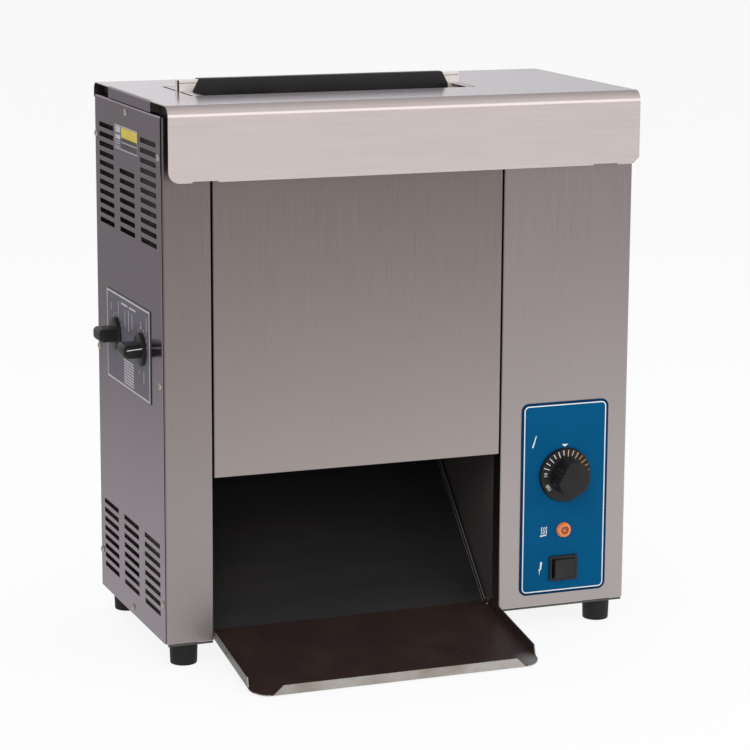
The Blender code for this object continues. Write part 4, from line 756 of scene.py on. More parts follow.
class TOASTER_OT_top_cover(bpy.types.Operator):
    """Top cover with its rounded brow, deep skirt, feed opening and end strips"""

    bl_idname = "toaster.top_cover"
    bl_label = "Top cover"

    def execute(self, context):
        sheet = context.scene.toaster_sheet
        low, high = placed("top_cover")
        points = [(low.x, high.y, high.z - BACK_FLANGE), (low.x, high.y, high.z), (low.x, low.y, high.z),
                  (low.x, low.y, low.z)]
        bm = folded(points, (sheet.back_radius, sheet.brow_radius), (high.x - low.x, 0, 0), (0, 1, 0), 12)
        front = low.y - OVERRUN
        behind = low.y + OVERRUN
        feed_low, feed_high = self.feed(high.z)
        cutters = [block(feed_low, feed_high),
                   quarter_cutter(low.x, low.z, sheet.skirt_corner, front, behind),
                   chamfer_cutter(high.x, low.z, sheet.skirt_chamfer, front, behind)]
        for start, stop in SKIRT_NOTCHES:
            cutters.append(block((start, front, low.z - OVERRUN), (stop, behind, low.z + sheet.notch_depth)))
        for edge_low, edge_high in ((low.x - OVERRUN, low.x + END_STRIP),
                                    (high.x - END_STRIP, high.x + OVERRUN)):
            cutters.append(block((edge_low, STRIP_START, high.z - OVERRUN),
                                 (edge_high, STRIP_END, high.z + OVERRUN)))
        # The top cover's inner faces take the near-black finish: painted shade.
        make_piece("top_cover_sheet", bm, ["top_steel", "plate_steel", "cavity_shade"],
                   replaces=["top_cover"], wall=sheet.wall, cutters=cutters, soften=sheet.edge_softness,
                   # Faces that look up take the darker plate steel: painted shade.
                   lining=2, dress=lambda polygon: 1 if polygon.normal.z > FLAT else polygon.material_index)
        self.end_plates(feed_low, feed_high, high.z)
        rest = placed("left_side_panel")[1].z + 2 * SHEET_GAP
        self.baffles(sheet, low, high, rest)
        self.strips(sheet, low, high, rest)
        return {"FINISHED"}

    def baffles(self, sheet, low, high, rest):
        """Upright strips that stand on the side panels before and behind the end strips."""
        made = []
        top = high.z - sheet.wall - SHEET_GAP
        for x in (low.x + BAFFLE_LEFT, high.x - BAFFLE_RIGHT):
            for start, stop in ((low.y + BAFFLE_FRONT, STRIP_START - BAFFLE_GAP),
                                (STRIP_END + BAFFLE_GAP, high.y - BAFFLE_BACK)):
                made.append(soft_block((x, start, rest), (x + sheet.wall, stop, top), THIN_EDGE))
        # The strips are near-black: painted shade in the gaps under the top cover.
        make_piece("top_corner_baffles", merge(made), ["cavity_shade"])

    def strips(self, sheet, low, high, rest):
        """Folded strips that close both ends of the top plate."""
        made = []
        for outer, inward in ((low.x, 1.0), (high.x, -1.0)):
            points = [(outer + inward * END_STRIP, STRIP_START, high.z), (outer, STRIP_START, high.z),
                      (outer, STRIP_START, rest)]
            made.append(folded(points, (sheet.fold_radius,), (0, STRIP_END - STRIP_START, 0), (0, 0, 1)))
        make_piece("top_end_strips", merge(made), ["side_steel"],
                   wall=sheet.wall, soften=sheet.edge_softness)

    def end_plates(self, feed_low, feed_high, top):
        """Flush plates that close both ends of the feed opening round the hot plate's cap."""
        cap_low, cap_high = placed("platen_cap")
        seam, end_seam, across_left, across_right = 0.0020, 0.0032, 0.0150, 0.0110
        lanes = ((feed_low[1] + seam, cap_low.y - seam), (cap_high.y + seam, feed_high[1] - seam))
        plates = []
        for start, stop in lanes:
            plates.append(soft_block((feed_low[0] + end_seam, start, top - END_PLATE_DEPTH),
                                     (feed_low[0] + across_left, stop, top), FINE_EDGE))
            plates.append(soft_block((feed_high[0] - across_right, start, top - END_PLATE_DEPTH),
                                     (feed_high[0] - seam, stop, top), FINE_EDGE))
        # The end plates' edges are near-black: painted shade.
        make_piece("feed_end_plates", merge(plates), ["plate_steel", "cavity_shade"],
                   dress=lambda polygon: 0 if polygon.normal.z > FLAT else 1)

    def feed(self, top):
        """Corners of the feed opening's cutter, measured from the hot plate's cap."""
        cap_low, cap_high = placed("platen_cap")
        centre = (cap_low.y + cap_high.y) / 2
        return ((cap_low.x - FEED_MARGIN, centre - FEED_DEPTH / 2, top - OVERRUN),
                (cap_high.x + FEED_MARGIN, centre + FEED_DEPTH / 2, top + OVERRUN))


SLOT_LENGTH, SLOT_HEIGHT = 0.0614, 0.0057
SLOT_PITCH, SLOT_COLUMN_PITCH = 0.01125, 0.0852
SLOT_TOP_DROP, SLOT_LOW_TOP = 0.0308, 0.0343


def slot_boxes():
    """Low and high (y, z) of each air slot in a side panel."""
    low, high = placed("left_side_panel")
    middle = (low.y + high.y) / 2
    boxes = []
    for column in (-1, 0, 1):
        centre = middle + column * SLOT_COLUMN_PITCH
        rows = [high.z - SLOT_TOP_DROP - SLOT_PITCH * row for row in range(4 if column == 0 else 0, 11)]
        rows += [SLOT_LOW_TOP + SLOT_PITCH * row for row in range(8)]
        boxes += [(centre - SLOT_LENGTH / 2, centre + SLOT_LENGTH / 2, top - SLOT_HEIGHT, top) for top in rows]
    return boxes


# Radii of the holes in the control column.
CONTROL_HOLES = {"thermostat_knob": 0.0056, "heater_lamp": 0.0070}
CONTROL_HOLE_DEPTH = 0.016
SWITCH_HOLE_INSET = 0.0014
SHAFT_HOLE_RADIUS, SHAFT_HOLE_DEPTH = 0.0046, 0.012
HOLE_STEPS = 24


def shaft_hole(name):
    """Cutter for the shaft of a thickness knob."""
    low, high = placed(name + "_thickness_knob")
    centre = (0, (low.y + high.y) / 2, (low.z + high.z) / 2)
    return drum(SHAFT_HOLE_RADIUS, SHAFT_HOLE_DEPTH, HOLE_STEPS, "X", centre)


def control_holes():
    """Cutters for the dial's bush, the lamp and the switch."""
    holes = []
    for node, radius in CONTROL_HOLES.items():
        low, high = placed(node)
        centre = ((low.x + high.x) / 2, 0, (low.z + high.z) / 2)
        holes.append(drum(radius, CONTROL_HOLE_DEPTH, HOLE_STEPS, "Y", centre))
    low, high = placed("power_switch_body")
    holes.append(block((low.x + SWITCH_HOLE_INSET, -OVERRUN, low.z + SWITCH_HOLE_INSET),
                       (high.x - SWITCH_HOLE_INSET, OVERRUN, high.z - SWITCH_HOLE_INSET)))
    return holes


class TOASTER_OT_side_panels(bpy.types.Operator):
    """Both side panels, with their top lip and air slots"""

    bl_idname = "toaster.side_panels"
    bl_label = "Side panels"

    def execute(self, context):
        sheet = context.scene.toaster_sheet
        for side, inward in (("left", 1.0), ("right", -1.0)):
            low, high = placed(side + "_side_panel")
            outer = low.x if side == "left" else high.x
            points = [(outer, low.y, low.z), (outer, low.y, high.z),
                      (outer + inward * PANEL_LIP, low.y, high.z)]
            bm = folded(points, (PANEL_FOLD,), (0, high.y - low.y, 0), (-inward, 0, 0))
            slots = []
            for start, stop, bottom, top in slot_boxes():
                slots.append(soft_block((outer - OVERRUN, start, bottom), (outer + OVERRUN, stop, top),
                                        sheet.slot_radius, 0, 3))
            cutters = [merge(slots)]
            if side == "left":
                for name in ("front", "rear"):
                    cutters.append(shaft_hole(name))
            make_piece(side + "_panel_sheet", bm, ["side_steel"],
                       replaces=[side + "_side_panel"], wall=sheet.wall, cutters=cutters,
                       soften=sheet.edge_softness)
        return {"FINISHED"}


# Lips under the columns and under the mouth: how far their ends stand in, and their (y, z) corners.
COLUMN_LIP = (0.0015, 0.0008, (0.0006, -0.0030), (0.0018, -0.0006))
MOUTH_LIP = (-0.004, -0.004, (0.0335, -0.0018), (0.0500, -0.0004))


def lip_strip(left, right, lip):
    start, stop, lower, upper = lip
    return soft_block((left + start, *lower), (right - stop, *upper), THIN_EDGE)


class TOASTER_OT_front_sheets(bpy.types.Operator):
    """Left column, control column and the cover between them"""

    bl_idname = "toaster.front_sheets"
    bl_label = "Front sheets"

    def execute(self, context):
        sheet = context.scene.toaster_sheet
        for node in ("left_front_column", "control_column", "front_cover"):
            low, high = placed(node)
            points = [(low.x, high.y, low.z), (low.x, low.y, low.z), (high.x, low.y, low.z),
                      (high.x, high.y, low.z)]
            bm = folded(points, (sheet.fold_radius,) * 2, (0, 0, high.z - low.z), (-1, 0, 0))
            cutters = control_holes() if node == "control_column" else []
            make_piece(node + "_sheet", bm, [node], replaces=[node],
                       wall=sheet.wall, cutters=cutters, soften=sheet.edge_softness)
        lips = []
        for node in ("left_front_column", "control_column"):
            low, high = placed(node)
            lips.append(lip_strip(low.x, high.x, COLUMN_LIP))
        mouth_left, mouth_right = placed("left_front_column")[1].x, placed("control_column")[0].x
        lips.append(lip_strip(mouth_left, mouth_right, MOUTH_LIP))
        make_piece("base_lip_strips", merge(lips), ["wall_coating"])
        return {"FINISHED"}


# Feed, chute and tray

CAP_START = 0.0016
CAP_FOLD = 0.0014
CAP_GAP = 0.0001
# Sizes of the black strip at the cap's left end: a painted shadow.
SHADOW_STRIP_PROUD, SHADOW_STRIP_BACK, SHADOW_STRIP_DROP = 0.0002, 0.0026, 0.0006
CAP_END_FRONT, CAP_END_INSET = 0.0028, 0.0002
CREASE_DROP, CREASE_INSET, CREASE_WIDTH = 0.0042, 0.0006, 0.0007
CLOTH_SKIN = 0.0008
CLOTH_SLANT = 0.0075
CLOTH_WALL = 0.0005
CLOTH_FOLDS = (0.004, 0.004, 0.0018, 0.0018, 0.004, 0.004)


class TOASTER_OT_hot_plate_cap(bpy.types.Operator):
    """Upright cap of the hot plate and the release sheet that hangs over it"""

    bl_idname = "toaster.hot_plate_cap"
    bl_label = "Hot plate cap"

    def execute(self, context):
        sheet = context.scene.toaster_sheet
        low, high = placed("platen_cap")
        start = low.x + CAP_START
        points = [(start, low.y, low.z), (start, low.y, high.z), (start, high.y, high.z),
                  (start, high.y, low.z)]
        bm = folded(points, (CAP_FOLD,) * 2, (high.x - start, 0, 0), (0, -1, 0))
        # A black strip before the cap's left end: painted shadow along its edge.
        shadow_strip = soft_block((low.x, low.y - SHADOW_STRIP_PROUD, low.z),
                          (start - CAP_GAP, low.y + SHADOW_STRIP_BACK, high.z - SHADOW_STRIP_DROP), THIN_EDGE)
        end = soft_block((low.x + CAP_END_INSET, low.y + CAP_END_FRONT, low.z),
                         (start - CAP_GAP, high.y, high.z - CAP_END_INSET), THIN_EDGE)
        make_piece("hot_plate_cap_end_and_shadow", merge([(shadow_strip, 0), (end, 1)]), ["black", "cap_steel"])
        make_piece("hot_plate_cap", bm, ["cap_steel"], replaces=["platen_cap"],
                   wall=sheet.wall, soften=sheet.edge_softness)
        # A flat dark strip along the cap's crease: painted shade.
        outline = rounded_outline(start, high.z - CREASE_DROP, high.x - start - CREASE_INSET, CREASE_WIDTH,
                                  THIN_EDGE, 2)
        crease = stamped(outline, "-Y", low.y)
        make_piece("hot_plate_cap_crease_shade", crease, ["grey_coating_and_crease_shade"])
        self.release_sheet(low, high)
        return {"FINISHED"}

    def release_sheet(self, cap_low, cap_high):
        """Coated cloth, narrower towards its fold so that its ends slant."""
        low, high = placed("release_sheet")
        top_plane = placed("top_cover")[1].z
        shoulder = placed("platen")[1].z + 2 * CLOTH_SKIN
        neck = shoulder + (high.y - low.y) / 2
        front_y, back_y = cap_low.y - CLOTH_SKIN, cap_high.y + CLOTH_SKIN
        front = [(low.y, low.z), (low.y, shoulder), (front_y, neck), (front_y, high.z)]
        back = [(high.y, low.z), (high.y, shoulder), (back_y, neck), (back_y, high.z)]
        line = [(low.x, y, z) for y, z in front] + [(low.x, y, z) for y, z in reversed(back)]
        bm = folded(line, CLOTH_FOLDS, (high.x - low.x, 0, 0), (0, -1, 0))
        bmesh.ops.bisect_plane(bm, geom=bm.verts[:] + bm.edges[:] + bm.faces[:], dist=TINY,
                               plane_co=(0, 0, top_plane), plane_no=(0, 0, 1))
        middle = (low.x + high.x) / 2
        for vert in bm.verts:
            share = max(0.0, (vert.co.z - top_plane) / (high.z - top_plane))
            vert.co.x += math.copysign(CLOTH_SLANT * share, middle - vert.co.x)
        make_piece("release_sheet_cloth", bm, ["release_cloth"], body="release_sheet_body",
                   replaces=["release_sheet"], wall=CLOTH_WALL)


TRAY_REACH = 0.136
TRAY_FALL = 0.0230
TRAY_DROP = 0.0040
TRAY_SLOPE = math.atan2(TRAY_FALL, TRAY_REACH)
TRAY_REAR_Y = placed("bun_tray")[1].y
TRAY_REAR_Z = TRAY_REAR_Y * math.tan(TRAY_SLOPE) - TRAY_DROP
TRAY_LENGTH = (TRAY_REACH + TRAY_REAR_Y) / math.cos(TRAY_SLOPE)
TRAY_LIP = 0.012
TRAY_CORNER = 0.022
TRAY_FLANGE_START = 0.008


class TOASTER_OT_tray(bpy.types.Operator):
    """Tray with rounded flat corners, folded sides and front lip"""

    bl_idname = "toaster.tray"
    bl_label = "Tray"

    def execute(self, context):
        sheet = context.scene.toaster_sheet
        low, high = placed("bun_tray")
        half = (high.x - low.x) / 2
        arc = []
        for step in range(9):
            angle = QUARTER * step / 8
            arc.append((half - TRAY_CORNER + TRAY_CORNER * math.cos(angle),
                        TRAY_CORNER - TRAY_LENGTH - TRAY_CORNER * math.sin(angle)))
        outline = [(half, 0.0), (half, -TRAY_FLANGE_START)] + arc
        outline += [(-x, y) for x, y in reversed(outline)]
        bm = bmesh.new()
        bm.faces.new([bm.verts.new((x, y, 0.0)) for x, y in outline])
        folds = [edge for edge in bm.edges if self.carries_flange(edge)]
        made = bmesh.ops.extrude_edge_only(bm, edges=folds)
        raised = moved_verts(made)
        bmesh.ops.translate(bm, vec=(0, 0, TRAY_LIP), verts=raised)
        for vert in raised:
            if vert.co.y < TINY - TRAY_LENGTH:
                vert.co.x -= math.copysign(TRAY_LIP, vert.co.x)
            elif vert.co.y < -TRAY_LENGTH / 2:
                vert.co.y += TRAY_LIP / 2
            else:
                vert.co.y -= TRAY_LIP / 2
        bevel_edges(bm, folds_of(bm), sheet.tray_fold, 4)
        bm.normal_update()
        floor = max(bm.faces, key=lambda face: face.calc_area())
        if floor.normal.z > 0:
            bmesh.ops.reverse_faces(bm, faces=bm.faces)
        rear = Matrix.Translation((low.x + half, TRAY_REAR_Y, TRAY_REAR_Z))
        bmesh.ops.transform(bm, matrix=rear @ Matrix.Rotation(TRAY_SLOPE, 4, "X"), verts=bm.verts)
        upright = Vector((0.0, -math.sin(TRAY_SLOPE), math.cos(TRAY_SLOPE)))
        lip = Vector((0.0, math.cos(TRAY_SLOPE), math.sin(TRAY_SLOPE)))
        middle = ZERO.x + low.x + half

        def finish_number(polygon):
            """Light lip, rims and right inner side, dark left outer side, brown floor; the lighter lip and right
            inner side are a painted reflection.
            """
            if abs(polygon.normal.dot(lip)) > 0.5:
                return 1
            if abs(polygon.normal.x) > 0.5:
                # Painted reflection: only the right inner side takes the light steel.
                return 1 if polygon.center.x > middle and polygon.normal.x < 0 else 2
            return 1 if abs(polygon.normal.dot(upright)) > 0.9 and polygon.area < RIM_AREA else 0

        make_piece("tray_sheet", bm, ["tray_coating", "lip_steel", "grey_coating_and_crease_shade"],
                   body="tray", replaces=["bun_tray"], wall=sheet.wall, soften=sheet.edge_softness,
                   dress=finish_number)
        return {"FINISHED"}

    def carries_flange(self, edge):
        """True for the straight sides and front of the tray's outline."""
        first, second = (vert.co for vert in edge.verts)
        side = abs(first.x - second.x) < TINY and max(first.y, second.y) < -TRAY_FLANGE_START / 2
        return side or max(first.y, second.y) < TINY - TRAY_LENGTH


CHUTE_SLOPE = math.radians(44.0)
CHUTE_FOOT_Y, CHUTE_FOOT_Z = 0.0330, 0.0012
CHUTE_FLANGE = 0.0060
CHUTE_BEND, CHUTE_FOLD = 0.006, 0.0016
STAND_INSET, STAND_FRONT, STAND_BACK, STAND_TOP = 0.0012, 0.0500, 0.0512, 0.0180


class TOASTER_OT_chute(bpy.types.Operator):
    """Sloping chute sheet with folded sides and lighter rims, on its stand"""

    bl_idname = "toaster.chute"
    bl_label = "Chute"

    def execute(self, context):
        sheet = context.scene.toaster_sheet
        low, high = placed("discharge_chute")
        back_z = CHUTE_FOOT_Z + (high.y - CHUTE_FOOT_Y) * math.tan(CHUTE_SLOPE)
        points = [(low.x, CHUTE_FOOT_Y, CHUTE_FOOT_Z), (low.x, high.y, back_z), (low.x, high.y, high.z)]
        bm = folded(points, (CHUTE_BEND,), (high.x - low.x, 0, 0), (0, 1, -1))
        lift = Vector((0.0, -math.sin(CHUTE_SLOPE), math.cos(CHUTE_SLOPE)))
        run = Vector((0.0, math.cos(CHUTE_SLOPE), math.sin(CHUTE_SLOPE)))
        sides = [edge for edge in bm.edges if len(edge.link_faces) == 1
                 and abs(direction(edge).dot(run)) > FLAT]
        made = bmesh.ops.extrude_edge_only(bm, edges=sides)
        bmesh.ops.translate(bm, vec=lift * CHUTE_FLANGE, verts=moved_verts(made))
        folds = [edge for edge in folds_of(bm) if abs(direction(edge).dot(run)) > FLAT]
        bevel_edges(bm, folds, CHUTE_FOLD, 3)
        bmesh.ops.recalc_face_normals(bm, faces=bm.faces)
        middle = ((low.x + high.x) / 2, (CHUTE_FOOT_Y + high.y) / 2, (CHUTE_FOOT_Z + back_z) / 2)
        face_out(bm, middle, (0, 1, -1))
        make_piece("discharge_chute_sheet", bm, ["coating", "grey_coating_and_crease_shade"],
                   replaces=["discharge_chute"], wall=sheet.wall, soften=sheet.edge_softness,
                   dress=lambda polygon: 1 if abs(polygon.normal.dot(lift)) > 0.4 and polygon.area < RIM_AREA
                   and abs(polygon.normal.dot(run)) < 0.5 else 0)
        stand = soft_block((low.x + STAND_INSET, STAND_FRONT, low.z),
                           (high.x - STAND_INSET, STAND_BACK, STAND_TOP), THIN_EDGE)
        make_piece("discharge_chute_stand", stand, ["coating"])
        return {"FINISHED"}


BELT_STEPS = 24
BELT_WALL = 0.0015


class TOASTER_OT_belts(bpy.types.Operator):
    """Both conveyor belts as smooth closed bands"""

    bl_idname = "toaster.belts"
    bl_label = "Belts"

    def execute(self, context):
        for name in ("front", "rear"):
            low, high = placed(name + "_belt")
            centre = (low.y + high.y) / 2
            radius = (high.y - low.y) / 2
            loop = []
            for middle, begin in ((low.z + radius, 180.0), (high.z - radius, 0.0)):
                for step in range(BELT_STEPS + 1):
                    angle = math.radians(begin + 180.0 * step / BELT_STEPS)
                    loop.append((centre + radius * math.cos(angle), middle + radius * math.sin(angle)))
            bm = bmesh.new()
            row = [bm.verts.new((low.x, y, z)) for y, z in loop]
            line = [bm.edges.new(pair) for pair in zip(row, row[1:] + row[:1])]
            made = bmesh.ops.extrude_edge_only(bm, edges=line)
            bmesh.ops.translate(bm, vec=(high.x - low.x, 0, 0), verts=moved_verts(made))
            bmesh.ops.recalc_face_normals(bm, faces=bm.faces)
            face_out(bm, (low.x, centre, low.z), (0, 0, -1))
            make_piece(name + "_belt_band", bm, ["belt"], replaces=[name + "_belt"],
                       wall=BELT_WALL)
        return {"FINISHED"}


# Controls

CONTROL_X = sum(corner.x for corner in placed("thermostat_knob")) / 2
DIAL_Z = sum(corner.z for corner in placed("thermostat_knob")) / 2
LAMP_Z = sum(corner.z for corner in placed("heater_lamp")) / 2
SWITCH_Z = sum(corner.z for corner in placed("power_switch_body")) / 2
PANEL_FACE = placed("control_label")[0].y
SEAT = PANEL_FACE - SHEET_GAP

PANEL_CORNER = 0.009

# Panel marks, as (x, z) points on the panel.
GAUGE = ((0.4497, 0.1935), (0.4518, 0.1938), (0.4556, 0.2075), (0.4548, 0.2078))
POINTER_RISE, POINTER_HALF, POINTER_LENGTH = 0.0368, 0.0042, 0.0034
HEAT_X = 0.4655
HEAT_BAR = ((HEAT_X - 0.0035, 0.0852), (HEAT_X + 0.0050, 0.0862))
HEAT_BAR_WIDTH, HEAT_WAVE_WIDTH = 0.0014, 0.0010
HEAT_WAVE_START, HEAT_WAVE_PITCH, HEAT_WAVE_SWAY = HEAT_X - 0.0020, 0.0030, 0.0012
HEAT_WAVE_HEIGHTS = (0.0875, 0.0905, 0.0932, 0.0962)
SPARK = ((0.4622, 0.0372), (0.4610, 0.0450), (0.4626, 0.0450), (0.4630, 0.0535), (0.4655, 0.0535),
         (0.4642, 0.0440), (0.4626, 0.0436))


class TOASTER_OT_control_panel(bpy.types.Operator):
    """Blue panel film with its dark rim and white line, and its small marks"""

    bl_idname = "toaster.control_panel"
    bl_label = "Control panel"

    def execute(self, context):
        controls = context.scene.toaster_controls
        low, high = placed("control_label")
        outline = rounded_outline(low.x, low.z, high.x - low.x, high.z - low.z, PANEL_CORNER, 8)
        bm = stamped(outline, "-Y", high.y, high.y - low.y)
        front = min(bm.faces, key=lambda face: face.calc_center_median().y)
        inner = front
        for width, finish in ((controls.panel_rim, 1), (controls.panel_line, 2)):
            ring = bmesh.ops.inset_region(bm, faces=[inner], thickness=width, use_even_offset=True)
            for face in ring["faces"]:
                face.material_index = finish - 1
        inner.material_index = 2
        for face in bm.faces:
            if abs(face.normal.y) < 0.5:
                face.material_index = 0
        make_piece("control_panel_film", bm, ["navy", "ink", "blue"],
                   replaces=["control_label"], cutters=control_holes())
        self.marks(low)
        return {"FINISHED"}

    def marks(self, low):
        """Pointer, slanted gauge mark, rising heat and spark, all plain symbols."""
        top = DIAL_Z + POINTER_RISE
        pointer = [(CONTROL_X - POINTER_HALF, top), (CONTROL_X + POINTER_HALF, top),
                   (CONTROL_X, top - POINTER_LENGTH)]
        marks = [stamped(outline, "-Y", low.y) for outline in (pointer, GAUGE)]
        marks.append(stroke(*HEAT_BAR, HEAT_BAR_WIDTH, "-Y", low.y))
        for index in range(3):
            left = HEAT_WAVE_START + HEAT_WAVE_PITCH * index
            wave = list(zip((left, left + HEAT_WAVE_SWAY) * 2, HEAT_WAVE_HEIGHTS))
            for lower, upper in zip(wave, wave[1:]):
                marks.append(stroke(lower, upper, HEAT_WAVE_WIDTH, "-Y", low.y))
        marks.append(stamped(SPARK, "-Y", low.y))
        make_piece("control_panel_marks", merge(marks), ["ink"])


DIAL_SKIRT_RADIUS = 0.03275
DIAL_GRIP_RADIUS = 0.0207
DIAL_FLAT = 0.0155
DIAL_FLAT_ANGLE = math.radians(151.0)
DIAL_SKIRT = 0.0045
GROOVE_HALF = 0.0007
GROOVE_STEP = 0.0042
GROOVE_END = 0.003
GRIP_TAPER = 0.0006
RIB_STEPS = (-0.0020, 0.0030)
RIB_HALF_WIDTH, RIB_HALF_HEIGHT = 0.0005, 0.0004
RING_OUT, RING_IN = 0.0012, 0.001
TICK_BEGIN, TICK_SWEEP = 160.0, 176.0
TICK_STARTS = (0.0228, 0.0243)
TICK_END = 0.0306
# Numbers on the dial, with their angles.
DIAL_NUMBERS = (("10", 176.0), ("100", 212.0))
NUMBER_RADIUS = 0.0262
NUMBER_SIZE = 0.0060


class TOASTER_OT_dial(bpy.types.Operator):
    """Thermostat dial: ticked skirt, numbers and a ribbed D grip"""

    bl_idname = "toaster.dial"
    bl_label = "Thermostat dial"

    def execute(self, context):
        controls = context.scene.toaster_controls
        low = placed("thermostat_knob")[0]
        face = SEAT - DIAL_SKIRT
        tip = low.y
        skirt = spun([(0.0, DIAL_SKIRT - 0.0002), (DIAL_GRIP_RADIUS, DIAL_SKIRT),
                      (DIAL_SKIRT_RADIUS - 0.0026, DIAL_SKIRT),
                      (DIAL_SKIRT_RADIUS - 0.0012, DIAL_SKIRT - 0.0005),
                      (DIAL_SKIRT_RADIUS - 0.0004, DIAL_SKIRT - 0.0014), (DIAL_SKIRT_RADIUS, 0.0012),
                      (DIAL_SKIRT_RADIUS, 0.0), (0.0, 0.0)], 96, "-Y", (CONTROL_X, SEAT, DIAL_Z))
        grip = self.grip(face, tip, controls.grip_softness)
        outer, inner = DIAL_GRIP_RADIUS + RING_OUT, DIAL_GRIP_RADIUS - RING_IN
        ring = spun([(outer, 0.0), (outer, 0.0006), (DIAL_GRIP_RADIUS + 0.0004, 0.0009), (inner, 0.0009),
                     (inner, 0.0), (outer, 0.0)], 64, "-Y",
                    (CONTROL_X, face + SHEET_GAP, DIAL_Z))
        parts = [(skirt, 0), (grip, 0), (ring, 0)]
        parts += self.ribs(face, tip)
        parts += self.ticks(controls, face)
        parts += self.numbers(face)
        make_piece("thermostat_dial_knob", merge(parts),
                   ["black", "ink", "ink_cream", "ink_orange", "rib_grey"],
                   body="thermostat_dial", replaces=["thermostat_knob"])
        return {"FINISHED"}

    def grip(self, face, tip, softness):
        """A round grip cut flat on one side, with two shallow grooves in the flat."""
        height = face - tip
        bm = bmesh.new()
        bmesh.ops.create_cone(bm, cap_ends=True, segments=96, radius1=DIAL_GRIP_RADIUS + GRIP_TAPER,
                              radius2=DIAL_GRIP_RADIUS, depth=height)
        cut = Vector((math.cos(DIAL_FLAT_ANGLE), math.sin(DIAL_FLAT_ANGLE), 0))
        made = bmesh.ops.bisect_plane(bm, geom=bm.verts[:] + bm.edges[:] + bm.faces[:], dist=TINY,
                                      plane_co=cut * DIAL_FLAT, plane_no=cut, clear_outer=True)
        rim = [item for item in made["geom_cut"] if isinstance(item, bmesh.types.BMEdge)]
        bmesh.ops.contextual_create(bm, geom=rim)
        top = [edge for edge in bm.edges if min(vert.co.z for vert in edge.verts) > height / 2 - TINY]
        bevel_edges(bm, top, softness, 3)
        bmesh.ops.recalc_face_normals(bm, faces=bm.faces)
        along = Vector((-cut.y, cut.x, 0))
        grooves = []
        for index in (-2, 2):
            groove = block((-GROOVE_HALF, -GROOVE_HALF, -height / 2 + GROOVE_END),
                           (GROOVE_HALF, GROOVE_HALF, height / 2 - GROOVE_END))
            turn(groove, DIAL_FLAT_ANGLE, "Z")
            shift(groove, cut * DIAL_FLAT + along * GROOVE_STEP * index)
            grooves.append(groove)
        result = carved(bm, grooves)
        turn(result, QUARTER, "X")
        shift(result, (CONTROL_X, face - height / 2, DIAL_Z))
        return result

    def ribs(self, face, tip):
        """Two raised ribs along the flat of the grip, lighter than the rest: a painted highlight."""
        middle = (face + tip) / 2
        length = face - tip - 2 * GROOVE_END
        cut = Vector((math.cos(DIAL_FLAT_ANGLE), 0, math.sin(DIAL_FLAT_ANGLE)))
        along = Vector((-cut.z, 0, cut.x))
        made = []
        for step in RIB_STEPS:
            rib = soft_block((-RIB_HALF_WIDTH, -length / 2, -RIB_HALF_HEIGHT),
                             (RIB_HALF_WIDTH, length / 2, RIB_HALF_HEIGHT), FINE_EDGE)
            turn(rib, -DIAL_FLAT_ANGLE, "Y")
            shift(rib, Vector((CONTROL_X, middle, DIAL_Z)) + cut * DIAL_FLAT + along * step)
            made.append((rib, 4))
        return made

    def ticks(self, controls, face):
        """Radial strokes near the rim, white at the cool end and orange at the hot end."""
        made = []
        for index in range(controls.dial_ticks):
            share = index / (controls.dial_ticks - 1)
            angle = math.radians(TICK_BEGIN - TICK_SWEEP * share)
            out = Vector((math.cos(angle), math.sin(angle)))
            centre = Vector((CONTROL_X, DIAL_Z))
            tick = stroke(centre + out * TICK_STARTS[index % 2], centre + out * TICK_END,
                          controls.tick_width, "-Y", face)
            made.append((tick, 1 if share < 0.36 else 2 if share < 0.6 else 3))
        return made

    def numbers(self, face):
        made = []
        for text, degrees in DIAL_NUMBERS:
            bm = numeral(text, NUMBER_SIZE, 2 * INK_RISE)
            turn(bm, -math.radians(degrees - 90.0), "Y")
            angle = math.radians(degrees)
            shift(bm, (CONTROL_X + NUMBER_RADIUS * math.cos(angle), face,
                       DIAL_Z + NUMBER_RADIUS * math.sin(angle)))
            made.append((bm, 1))
        return made


# Front of the lens, in shares of its radius and its rise.
LENS_PROFILE = ((0.0, 0.55), (0.26, 0.72), (0.40, 0.55), (0.52, 0.55), (0.58, 0.94), (0.66, 1.0),
                (0.78, 0.93), (0.92, 0.62), (1.0, 0.22), (1.0, 0.0), (0.7, 0.0))


class TOASTER_OT_lamp(bpy.types.Operator):
    """Heater lamp with a stepped orange lens"""

    bl_idname = "toaster.lamp"
    bl_label = "Heater lamp"

    def execute(self, context):
        low, high = placed("heater_lamp")
        radius = (high.x - low.x) / 2
        rise = SEAT - low.y
        tail = high.y - SEAT
        profile = [(radius * out, rise * up) for out, up in LENS_PROFILE]
        lens = spun(profile + [(radius * 0.7, -tail), (0.0, -tail)], 64, "-Y", (CONTROL_X, SEAT, LAMP_Z))
        for face in lens.faces:
            away = face.calc_center_median() - Vector((CONTROL_X, 0, LAMP_Z))
            inside = math.hypot(away.x, away.z) < radius * 0.52
            face.material_index = 1 if inside and face.normal.y < -0.2 else 0
        ribs = []
        for index in range(3):
            rib = soft_block((-radius * 0.44, -RIB_HALF_HEIGHT, -RIB_HALF_HEIGHT),
                             (radius * 0.44, RIB_HALF_HEIGHT, RIB_HALF_HEIGHT), FINE_EDGE)
            turn(rib, math.radians(25 + 60 * index), "Y")
            shift(rib, (CONTROL_X, SEAT - rise * 0.62, LAMP_Z))
            ribs.append((rib, 0))
        make_piece("heater_lamp_lens", merge([lens] + ribs), ["lens", "lens_deep"],
                   replaces=["heater_lamp"])
        return {"FINISHED"}


BEZEL_CORNER, BEZEL_SOFTNESS = 0.0022, 0.0008
CASE_RIM = 0.0018
POCKET_RIM = 0.0034
POCKET_DEPTH = 0.012
ROCKER_TILT = math.radians(6.0)
ROCKER_HALF = 0.01345
ROCKER_PROUD = 0.0045
ROCKER_DIP = 0.0010
ROCKER_SOFTNESS = 0.0009
ROCKER_INSET = 0.0011


